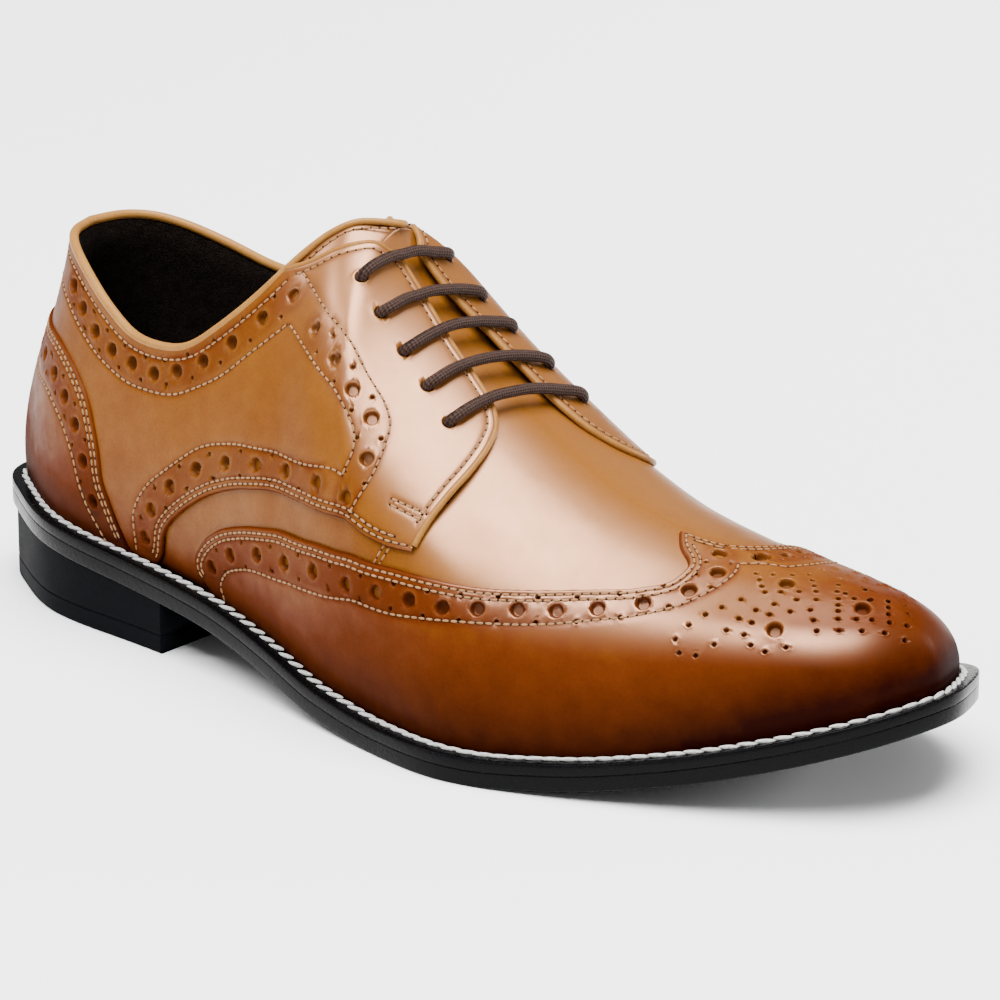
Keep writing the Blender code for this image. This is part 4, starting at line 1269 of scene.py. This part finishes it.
def wing_marks(side):
    marks = Marks(side, LAYER)
    near = side == LATERAL
    tail = rail_line(WING_ROWS[side], side, True, 0, len(WING_NEAR) - 1)
    edge = line_on(WING_EDGE if near else WING_FAR_EDGE, side)
    tip = line_on(WING_TIP, side) if near else []
    marks.band(WING_HOLES if near else WING_FAR_HOLES)
    if near:
        marks.dots([(0.824, 0.990)], small=False)
    marks.dots(MEDALLION_BIG[side], small=False)
    marks.dots(MEDALLION_SMALL[side], small=True)
    marks.seam(WING_SEAM if near else WING_SEAM_FAR)
    whole = tail[:-1] + edge
    marks.seam(whole[6:-8] if near else whole[6:], -0.0015)
    marks.seam(whole[6:-30] if near else whole[6:], -0.0030)
    marks.border(whole)
    if near:
        marks.seam(WING_SEAM_TIP)
        marks.seam(tip[22:], -0.0015)
        marks.seam(tip[50:], -0.0030)
        marks.border(tip)
    return marks, edge + tip + [(1.02, 1.02), (1.02, -0.02), (0.70, -0.02), (0.70, 0.50)]


wing_parts = []
wing_lines = []
for side in SIDES:
    marks, cut = wing_marks(side)
    tail = panel_bmesh(WING_ROWS[side], side, LAYER, marks, wing_burnish_and_shade)
    toe = panel_bmesh(WING_TOE, side, LAYER, marks, wing_burnish_and_shade, cut=cut, rungs=66)
    wing_parts += [facing_out(tail, side), facing_out(toe, side)]
    wing_lines += sewn_lines(marks)
settle("wing_cap_leather", wing_parts, tan_leather, ("wing_cap",))
sew("wing_cap", wing_lines)

# %% [markdown]
# The counter
#
# The counter cups the heel over the ends of both quarters. It is darkest of all along the welt,
# partly from burnish and partly as painted shade low on the heel.
# %% Counter
COUNTER_LEVEL = 0.0022
COUNTER_ROWS = (
    # low u  low v  high u high v
    (0.000, 0.000, 0.000, 0.655),
    (0.070, 0.000, 0.076, 0.655),
    (0.120, 0.000, 0.134, 0.667),
    (0.155, 0.000, 0.170, 0.637),
    (0.176, 0.000, 0.189, 0.589),
    (0.192, 0.000, 0.201, 0.509),
    (0.204, 0.000, 0.209, 0.413),
    (0.214, 0.000, 0.213, 0.299),
    (0.221, 0.000, 0.220, 0.220),
    (0.228, 0.000, 0.226, 0.134),
    (0.234, 0.000, 0.233, 0.030),
)


def counter_burnish_and_shade(u, v):
    # Darker towards the welt: partly burnish, partly painted shade.
    low = 0.80 * np.exp(-((v / 0.24) ** 1.3))
    back = 0.16 * (1 - smooth(0.0, 0.15, u))
    return 0.14 + low + back


counter_parts = []
counter_lines = []
for side in SIDES:
    marks = Marks(side, COUNTER_LEVEL)
    marks.band(COUNTER_HOLES)
    marks.seam(COUNTER_SEAM)
    edge = rail_line(COUNTER_ROWS, side, True, 0, len(COUNTER_ROWS) - 1)
    for beside in (-0.0015, -0.0030):
        marks.seam(edge[:-8], beside)
    marks.border(edge)
    cup = panel_bmesh(COUNTER_ROWS, side, COUNTER_LEVEL, marks, counter_burnish_and_shade, rungs=52)
    counter_parts.append(facing_out(cup, side))
    counter_lines += sewn_lines(marks)
settle("counter_leather", counter_parts, tan_leather, ("counter",))
sew("counter", counter_lines)

# %% [markdown]
# Vamp and tongue
#
# The vamp lies under the wing and the quarters, and runs on into the tongue. Behind the
# facings it drops, so that their edges cast a dark line on it.
# %% Vamp and tongue
VAMP_NEAR = (
    # low u  low v  high u high v
    (0.405, 0.880, 0.425, 0.990),
    (0.440, 0.850, 0.455, 0.998),
    (0.475, 0.810, 0.485, 1.000),
    (0.508, 0.740, 0.510, 1.000),
    (0.536, 0.520, 0.530, 1.000),
    (0.562, 0.300, 0.552, 1.000),
    (0.590, 0.322, 0.585, 1.000),
    (0.633, 0.382, 0.630, 1.000),
    (0.680, 0.460, 0.680, 1.000),
    (0.725, 0.545, 0.722, 1.000),
    (0.754, 0.605, 0.750, 1.000),
    (0.782, 0.700, 0.772, 1.000),
    (0.795, 0.820, 0.788, 1.000),
    (0.800, 0.930, 0.800, 1.000),
)
VAMP_FAR = VAMP_NEAR[:8] + (
    (0.680, 0.425, 0.680, 1.000),
    (0.725, 0.465, 0.722, 1.000),
    (0.757, 0.488, 0.750, 1.000),
    (0.788, 0.560, 0.776, 1.000),
    (0.804, 0.700, 0.796, 1.000),
    (0.813, 0.880, 0.812, 1.000),
)
VAMP_ROWS = {LATERAL: VAMP_NEAR, MEDIAL: VAMP_FAR}
VAMP_SIDE_ROWS = (
    # low u  low v  high u high v
    (0.240, 0.000, 0.240, 0.200),
    (0.270, 0.000, 0.265, 0.300),
    (0.300, 0.000, 0.290, 0.420),
    (0.325, 0.000, 0.320, 0.500),
    (0.345, 0.120, 0.345, 0.520),
    (0.390, 0.260, 0.390, 0.540),
    (0.450, 0.260, 0.450, 0.500),
    (0.510, 0.220, 0.510, 0.460),
    (0.580, 0.230, 0.580, 0.460),
)


def tongue_top():
    """How far the tongue's rounded end stands out of the last, by u on each side."""
    moved = {LATERAL: (0.0010, 0.0028, 0.0012), MEDIAL: (0.0004, 0.0, -0.0026)}
    tip = skin(np.array([CORNER]), np.array([1.0]), LATERAL)[0][0] + np.array(moved[LATERAL])
    stops = (0.42, 0.445, 0.47, 0.495)
    spots = {}
    for side in SIDES:
        spots[side], _ = skin(np.array(stops), np.array([top_share(u) for u in stops]), side)
    spots[MEDIAL][2:] += np.array(moved[MEDIAL]) * np.array([[0.5], [1.0]])
    at = [*stops, CORNER, *(2 * CORNER - u for u in stops[::-1])]
    ring = np.concatenate([spots[LATERAL], [tip], spots[MEDIAL][::-1]])
    ways = [curve(at, ring[:, k], supple=True) for k in range(3)]

    def shift(u, v, side):
        t = np.clip(u, stops[0], CORNER)
        t = t if side == LATERAL else 2 * CORNER - t
        there = np.stack([way(t) for way in ways], -1)
        here, _ = skin(np.clip(u, stops[0], CORNER), top_share(np.clip(u, 0, CORNER)), side)
        fade = smooth(0.72, 1.0, v) * (1 - smooth(CORNER, 0.575, u)) * smooth(0.42, 0.43, u)
        return (there - here) * fade[:, None]

    return shift


TONGUE_SHIFT = tongue_top()


def throat_drop(u, v):
    ahead = 1 - smooth(0.590, 0.650, u)
    behind = smooth(0.490, 0.550, u)
    return -0.0020 * ahead * behind * smooth(0.42, 0.62, v)


def vamp_burnish_and_shade(u, v):
    # Darker towards the welt: partly burnish, partly painted shade.
    low = 0.50 * np.exp(-v / 0.14)
    side = 0.10 * (1 - smooth(0.50, 0.62, u))
    return 0.02 + low + side + 0.10 * smooth(0.70, 0.82, u)


vamp_parts = []
vamp_lines = []
for side in SIDES:
    marks = Marks(side, 0.0)
    marks.seam(SIDE_SEAM, 0.0008)
    marks.seam(SIDE_SEAM, 0.0024)
    front = panel_bmesh(
        VAMP_ROWS[side], side, 0.0, marks, vamp_burnish_and_shade, 0.0011, throat_drop, shift=TONGUE_SHIFT
    )
    flank = panel_bmesh(VAMP_SIDE_ROWS, side, 0.0, marks, vamp_burnish_and_shade, 0.0014)
    vamp_parts += [facing_out(front, side), facing_out(flank, side)]
    vamp_lines += sewn_lines(marks)
    at = np.linspace(0.445, CORNER, 300)
    inside_edge = top_share(at) - 0.030
    places, outs = skin(at, inside_edge, side)
    places = places + outs * 0.0002 + TONGUE_SHIFT(at, np.full(300, 0.98), side)
    vamp_lines.append(walk(places, outs, PITCH))
settle("vamp_leather", vamp_parts, tan_leather, ("upper", "tongue"))
sew("vamp", vamp_lines)

# %% [markdown]
# Lining
#
# Inside, the shoe is lined with a dark brushed cloth. It is a second sheet, the wall's
# thickness inside the leather.
# %% Lining
lining_material, lining_tree, lining_shader = start_material(
    "lining_cloth", 0.95, Specular_IOR_Level=0.05
)
lining_place = object_place(lining_tree)
lining_fuzz = noise(lining_tree, lining_place, 2600.0, 3.0)
lining_cloud = noise(lining_tree, lining_place, 420.0, 3.0)
lining_colour = mix(
    lining_tree, (lining_fuzz * 1.6 + lining_cloud * 0.6 - 0.85).clipped(),
    (0.0016, 0.0010, 0.0008, 1.0), (0.020, 0.013, 0.010, 1.0),
)
finish_material(
    lining_tree, lining_shader, lining_colour, None, lining_fuzz + lining_cloud, depth=0.0006
)
WALL = 0.0019
QUARTER_LINING_ROWS = tuple(
    (at, 0.0, high_u, high_v - 0.012)
    for at, (_, _, high_u, high_v) in zip(np.linspace(0, 0.588, 34), QUARTER_ROWS[LATERAL])
)
VAMP_LINING_ROWS = (
    # low u  low v  high u high v
    (0.540, 0.000, 0.530, 1.000),
    (0.620, 0.000, 0.610, 1.000),
    (0.700, 0.000, 0.690, 1.000),
    (0.780, 0.000, 0.770, 1.000),
    (0.860, 0.000, 0.850, 1.000),
    (0.930, 0.000, 0.920, 1.000),
    (1.000, 0.000, 1.000, 1.000),
)


def facing_rise(u, v):
    collar = 0.0009 * smooth(0.925, 0.955, v) * (1 - smooth(0.40, 0.46, u))
    return collar + 0.0012 * smooth(0.46, 0.54, u) * smooth(0.45, 0.65, v)


lining_parts = []
for side in SIDES:
    plain = Marks(side, 0.0)
    for rows, extra in ((QUARTER_LINING_ROWS, facing_rise), (VAMP_LINING_ROWS, throat_drop)):
        sheet = panel_bmesh(rows, side, -WALL, plain, lambda u, v: 0 * u, 0.0030, extra)
        facing_out(sheet, side)
        bmesh.ops.reverse_faces(sheet, faces=sheet.faces)
        lining_parts.append(sheet)
settle("lining", lining_parts, lining_material)

# %% [markdown]
# Tubes
#
# The rolled topline, the facing's rounded edge and the lace are all tubes. A grid is rolled
# round a path: one way along it, the other way round it.


# %% Roll a tube
def tube(path, outs, radii, sides=12):
    """A tube along a path, with the share round it and the distance along it on its points."""
    count = len(path)
    radii = np.broadcast_to(np.asarray(radii, float), (count,))
    ahead = units(np.gradient(path, axis=0))
    across = units(np.cross(outs, ahead))
    up = np.cross(ahead, across)
    run = run_along(path)
    net = flat_net(count - 1, sides)
    round_share = net.verts.layers.float.new("round")
    along = net.verts.layers.float.new("along")
    for vertex in net.verts:
        i = int(round(vertex.co.x))
        share = vertex.co.y / sides
        angle = 2 * math.pi * share
        radius = radii[i]
        vertex.co = path[i] + (across[i] * math.cos(angle) + up[i] * math.sin(angle)) * radius
        vertex[round_share] = share
        vertex[along] = run[i]
    bmesh.ops.remove_doubles(net, verts=net.verts, dist=1e-6)
    ends = [edge for edge in net.edges if edge.is_boundary]
    bmesh.ops.holes_fill(net, edges=ends, sides=0)
    bmesh.ops.recalc_face_normals(net, faces=net.faces)
    return net


def marked(net, tone):
    """Gives a plain piece of leather one value for how dark it is."""
    burnish = net.verts.layers.float.new("burnish")
    net.verts.layers.float.new("pit")
    for vertex in net.verts:
        vertex[burnish] = tone
    return net


# %% [markdown]
# The rolled topline
#
# The collar ends in a strip of pale leather rolled over the wall. On the facing the roll
# thins to a bead along the cut edge.
# %% Topline and facing bead
at = np.linspace(0, CORNER, 700)
halves = []
for side in SIDES:
    places, outs = skin(at, np.minimum(top_share(at) + 0.0035, 1), side)
    places = places + outs * 0.0003 + TONGUE_SHIFT(at, np.ones_like(at), side)
    halves.append(np.hstack([places, outs]))
whole = np.concatenate([halves[0], halves[1][-2::-1], halves[0][1:20]])
spots, outs, _ = walk(whole[:, :3], whole[:, 3:], 0.0015)
share = 1 - np.abs(np.linspace(-1, 1, len(spots)))
radii = 0.00130 - 0.00042 * smooth(0.72, 0.88, share)
roll_parts = [marked(tube(spots, outs, radii, 14), 0.0)]
for side in SIDES:
    spots, outs, _ = trail(EDGES[side]["facing"][::-1], side, 0.0007, 0.0010)
    roll_parts.append(marked(tube(spots, outs, 0.00085, 12), 0.10))
settle("topline_roll", roll_parts, edge_leather)

# %% [markdown]
# The lace
#
# A round woven lace of about 3 mm runs straight across the throat five times and crosses
# underneath. Its path repeats the one that the solids hold. The weave is two sets of strands
# that wind opposite ways, cut as real ridges by a bump on the tube's own coordinates.


# %% Lace path
def eyelet(place, side):
    u, v = (np.array([value]) for value in place)
    point, out = skin(u, v, side)
    return point[0], out[0]


def throat_map():
    """Places of the throat's skin by plan position, and how steep it is there."""
    places = []
    slopes = []
    for side in SIDES:
        u, v = np.meshgrid(np.linspace(0.48, 0.66, 240), np.linspace(0.66, 1.0, 140))
        spots, outs = skin(u.ravel(), v.ravel(), side)
        places.append(spots)
        slopes.append(outs[:, 2])
    places = np.concatenate(places)
    slopes = np.concatenate(slopes)
    return tree_of(places * (1, 1, 0)), places, slopes


LACE_RADIUS = 0.00145
LACE_OVER = LAYER + 1.12 * LACE_RADIUS


def through(place, side, toward, low_toward):
    """Points of the lace in one eyelet, from below the facing to the start of its bar."""
    point, out = eyelet(place, side)
    radius = LACE_RADIUS
    across = unit(toward - out * np.dot(toward, out))
    route = []
    if low_toward is not None:
        below = unit(low_toward - out * np.dot(low_toward, out))
        route.append(point - out * 1.9 * radius + below * 1.3 * radius)
        route.append(point - out * 1.0 * radius + below * 0.2 * radius)
    else:
        route.append(point - out * 1.8 * radius)
    route.append(point + out * (LAYER - 0.1 * radius) + across * 0.05 * radius)
    route.append(point + out * (LAYER + 0.6 * radius) + across * 0.35 * radius)
    route.append(point + out * (LAYER + 1.05 * radius) + across * 1.15 * radius)
    return route


def lace_route():
    tree, places, slopes = throat_map()
    spots = {side: [eyelet(place, side)[0] for place in EYELETS[side]] for side in EYELETS}
    points = []
    for row in range(5):
        near, far = (LATERAL, MEDIAL) if row % 2 == 0 else (MEDIAL, LATERAL)
        start, end = spots[near][row], spots[far][row]
        before = spots[near][row - 1] - start if row else None
        after = spots[far][row + 1] - end if row < 4 else None
        rise = through(EYELETS[near][row], near, end - start, before)
        fall = through(EYELETS[far][row], far, start - end, after)[::-1]
        bar = []
        for share in (0.2, 0.32, 0.44, 0.56, 0.68, 0.8):
            x, y, _ = rise[-1] + (fall[0] - rise[-1]) * share
            _, found, _ = tree.find((x, y, 0))
            height = places[found][2] + LACE_OVER / max(slopes[found], 0.5)
            bar.append(np.array([x, y, height]))
        points += rise + bar + fall
    return np.array(points)


# %% Lace
lace_material, lace_tree, lace_shader = start_material(
    "woven_lace", 0.60, Specular_IOR_Level=0.12
)
lace_round = point_value(lace_tree, "round")
lace_along = point_value(lace_tree, "along")
LACE_STRANDS = 6
LACE_LAY = 0.0016
lace_round = lace_round * (2 * math.pi * LACE_STRANDS)
lace_along = lace_along * (2 * math.pi / LACE_LAY)
lace_weave = (lace_round + lace_along).sine() * (lace_round - lace_along).sine() * 0.5 + 0.5
lace_fluff = noise(lace_tree, object_place(lace_tree), 3000.0, 3.0)
# The colour is darker where the weave is low, as painted shade between the strands, with random fibre
# tone on top.
lace_shade_mask = (lace_weave * 0.9 + (lace_fluff - 0.5) * 1.3).clipped()
finish_material(
    lace_tree, lace_shader,
    mix(lace_tree, lace_shade_mask, (0.0050, 0.0022, 0.0018, 1.0), (0.060, 0.030, 0.021, 1.0)),
    None, lace_weave + lace_fluff * 0.5, depth=0.0003,
)

lace_points = lace_route()
lace_run = run_along(lace_points)
lace_at = np.linspace(0, lace_run[-1], int(lace_run[-1] / 0.0008))
lace_path = np.stack([curve(lace_run, lace_points[:, k], supple=True)(lace_at) for k in range(3)], -1)
lace_net = tube(lace_path, np.tile([1.0, 0.0, 0.15], (len(lace_path), 1)), LACE_RADIUS, 16)
settle("lace_cord", [lace_net], lace_material, ("laces",), weld=0)
print("lace length", round(float(lace_run[-1]), 3), "m")

# %% [markdown]
# Sole, welt and heel
#
# Under the upper lie a welt, an outsole, and a heel of two pieces. Each is the same plan
# outline at its own height, with softly broken edges. A grid goes round the section one way
# and along the shoe the other, so that every layer is one closed skin.


# %% Sole layers
def layer(low, high, profile, inset=0.0, end=None, stations=200, rungs=8):
    """A closed plate on the outline. The profile gives (inset, share of height) of its edge."""
    last = {}
    for side in SIDES:
        last[side] = 1.0
        if end:
            fine = np.linspace(0, 0.6, 2401)
            spots, outward = outline(fine, side)
            last[side] = float(np.interp(end, (spots - outward * inset)[:, 0], fine))
    share = (1 - np.cos(np.linspace(0, math.pi, stations + 1))) / 2
    if end:
        share = 1 - np.cos(np.linspace(0, math.pi / 2, stations + 1))
    share = 0.35 * share + 0.65 * np.linspace(0, 1, stations + 1)
    edge = {}
    for side in SIDES:
        edge[side] = outline(share * last[side], side)
    rim = len(profile)
    ring = 2 * rim + 2 * (rungs - 1)
    net = flat_net(stations, ring)
    for vertex in net.verts:
        i = int(round(vertex.co.x))
        j = int(round(vertex.co.y)) % ring
        if j < rim:
            side, k, across = LATERAL, j, 0.0
        elif j < rim + rungs - 1:
            side, k, across = LATERAL, rim - 1, (j - rim + 1) / rungs
        elif j < 2 * rim + rungs - 1:
            side, k, across = MEDIAL, rim - 1 - (j - rim - rungs + 1), 0.0
        else:
            side, k, across = MEDIAL, 0, (j - 2 * rim - rungs + 2) / rungs
        inward, rise = profile[k]
        here = edge[side][0][i] - edge[side][1][i] * (inset + inward)
        there = edge[-side][0][i] - edge[-side][1][i] * (inset + inward)
        spot = here + (there - here) * across
        if end:
            spot[0] = min(spot[0], end)
            if i == stations:
                spot[0] = end
        floor = low(spot[0])
        vertex.co = (*(spot - MIDDLE[:2]), floor + (high(spot[0]) - floor) * rise)
    bmesh.ops.remove_doubles(net, verts=net.verts, dist=2e-6)
    ends = [edge for edge in net.edges if edge.is_boundary]
    if ends:
        bmesh.ops.holes_fill(net, edges=ends, sides=0)
    bmesh.ops.dissolve_degenerate(net, dist=1e-7, edges=net.edges)
    bmesh.ops.recalc_face_normals(net, faces=net.faces)
    return net


def soft_edge(bottom, top, steps=4):
    """An upright edge whose corners are rounded by two insets, as (inset, share)."""
    rows = []
    for k in range(steps + 1):
        angle = math.pi / 2 * k / steps
        rows.append((bottom * (1 - math.sin(angle)), 0.12 * (1 - math.cos(angle))))
    for k in range(steps + 1):
        angle = math.pi / 2 * k / steps
        rows.append((top * (1 - math.cos(angle)), 0.88 + 0.12 * math.sin(angle)))
    return rows


def sole_material(name, dark, pale, roughness, scale, gloss):
    made, tree, shader = start_material(name, roughness, Specular_IOR_Level=gloss)
    place = object_place(tree)
    broad = noise(tree, place, 60.0, 3.0)
    fine = noise(tree, place, scale, 4.0)
    colour = mix(tree, (broad * 0.5 + fine * 0.6 - 0.1).clipped(), dark, pale)
    dull = roughness + (broad - 0.5) * 0.2 + (fine - 0.5) * 0.15
    finish_material(tree, shader, colour, dull, fine, depth=0.00008)
    return made


sole_black = sole_material(
    "sole_edge", (0.0008, 0.0008, 0.0010, 1.0), (0.0020, 0.0020, 0.0024, 1.0), 0.26, 900.0, 0.05
)
heel_black = sole_material(
    "heel_rubber", (0.0007, 0.0008, 0.0012, 1.0), (0.0024, 0.0028, 0.0042, 1.0), 0.62, 1400.0, 0.02
)
insole_cloth = sole_material(
    "insole_sock", (0.004, 0.003, 0.0025, 1.0), (0.014, 0.010, 0.008, 1.0), 0.9, 1800.0, 0.1
)


def underneath(gap):
    return lambda x: float(underside(x)) + gap


outsole_net = layer(
    underneath(0.0), underneath(OUTSOLE_THICKNESS + GAP), soft_edge(0.0006, 0.0005)
)
settle("outsole_plate", [outsole_net], sole_black, ("outsole",), weld=0)
welt_net = layer(
    underneath(OUTSOLE_THICKNESS), underneath(SOLE_STACK + 0.0004), soft_edge(0.0006, 0.0010)
)
settle("welt_strip", [welt_net], sole_black, ("welt",), weld=0)
insole_net = layer(
    underneath(SOLE_STACK), underneath(SOLE_STACK + INSOLE_RISE), soft_edge(0.0003, 0.0008),
    inset=WELT_SHOW + 0.0021,
)
settle("insole_sock", [insole_net], insole_cloth, ("insole",), weld=0)
stack_net = layer(
    lambda x: TOPLIFT_THICKNESS + 0.0001, underneath(0.0), soft_edge(0.0002, 0.0002),
    inset=HEEL_INSET, end=HEEL_BREAST,
)
settle("heel_block", [stack_net], heel_black, ("heel_stack",), weld=0)
lift_net = layer(
    lambda x: 0.0, lambda x: TOPLIFT_THICKNESS, soft_edge(0.0005, 0.0002),
    inset=HEEL_INSET, end=HEEL_BREAST,
)
settle("heel_top_piece", [lift_net], heel_black, ("heel_toplift",), weld=0)

# %% [markdown]
# Welt stitches
#
# The welt is sewn with heavy pale thread, one lockstitch after another. Each stitch is a fat
# bead laid a little askew, so that the row looks like a rope.
# %% Welt rope
rope_material, rope_tree, rope_shader = start_material("welt_thread", 0.55, Specular_IOR_Level=0.3)
rope_place = object_place(rope_tree)
rope_strand = noise(rope_tree, rope_place, 1500.0, 3.0)
finish_material(
    rope_tree, rope_shader,
    mix(rope_tree, rope_strand, (0.12, 0.115, 0.11, 1.0), (0.72, 0.71, 0.69, 1.0)),
    None, rope_strand, depth=0.0004,
)
ROPE_PITCH = 0.0045
ROPE_INSET = 0.0036
ROPE_SKEW = math.radians(13)
ROPE_WIDTH = 0.00132
ROPE_HEIGHT = 0.0012


def welt_rope():
    rope = bmesh.new()
    around = OUTLINE_AT(np.linspace(0, OUTLINE_END, 3200))
    along = units(np.gradient(around, axis=0))
    plan = around - np.column_stack([along[:, 1], -along[:, 0]]) * ROPE_INSET
    places = np.column_stack([plan, underside(plan[:, 0]) + SOLE_STACK + 0.0006]) - MIDDLE
    outs = np.tile([0.0, 0.0, 1.0], (len(places), 1))
    steps, outs, ahead = walk(places, outs, ROPE_PITCH)
    for spot, out, way in list(zip(steps, outs, ahead))[:-1]:
        lean = np.cross(out, way) * math.sin(ROPE_SKEW) + way * math.cos(ROPE_SKEW)
        bead(rope, spot, out, unit(lean), ROPE_PITCH * 1.30, ROPE_WIDTH, ROPE_HEIGHT, 3)
    return rope


settle("welt_rope", [welt_rope()], rope_material, weld=0)

# %% [markdown]
# The studio
#
# A pale floor and large soft lights, as for a catalogue. The floor is the only thing here
# that isn't the shoe.


# %% Floor and lights
def make_floor():
    net = bmesh.new()
    bmesh.ops.create_grid(net, x_segments=1, y_segments=1, size=4.0)
    mesh = bpy.data.meshes.new("floor")
    net.to_mesh(mesh)
    net.free()
    made, tree, shader = start_material("floor", 0.9, Specular_IOR_Level=0.0)
    tone = noise(tree, object_place(tree), 3.0, 1.0)
    finish_material(tree, shader, mix(tree, tone, (0.90, 0.90, 0.90, 1), (0.92, 0.92, 0.92, 1)))
    mesh.materials.append(made)
    floor = bpy.data.objects.new("floor", mesh)
    bpy.context.scene.collection.objects.link(floor)


def make_light(name, place, target, size, power):
    lamp = bpy.data.lights.new(name, "AREA")
    lamp.shape = "RECTANGLE"
    lamp.size = size[0]
    lamp.size_y = size[1]
    lamp.energy = power
    light = bpy.data.objects.new(name, lamp)
    light.location = place
    way = Vector(target) - Vector(place)
    light.rotation_euler = way.to_track_quat("-Z", "Y").to_euler()
    bpy.context.scene.collection.objects.link(light)


def make_world():
    world = bpy.data.worlds.new("studio")
    world.use_nodes = True
    world.node_tree.nodes["Background"].inputs["Color"].default_value = (1.0, 1.0, 1.0, 1.0)
    world.node_tree.nodes["Background"].inputs["Strength"].default_value = 0.42
    bpy.context.scene.world = world


make_floor()
make_world()
make_light("overhead", (0.25, -0.55, 2.30), (0.25, -0.54, 0.0), (1.7, 2.7), 290.0)
make_light("left key", (-1.9, -1.1, 1.9), (0.0, 0.0, 0.05), (0.5, 0.5), 26.0)
make_light("toe rim", (1.15, 1.5, 0.55), (0.1, 0.0, 0.04), (0.45, 0.35), 20.0)
make_light("backdrop", (0.0, 0.9, 1.3), (0.0, 2.6, 0.0), (1.6, 0.6), 42.0)
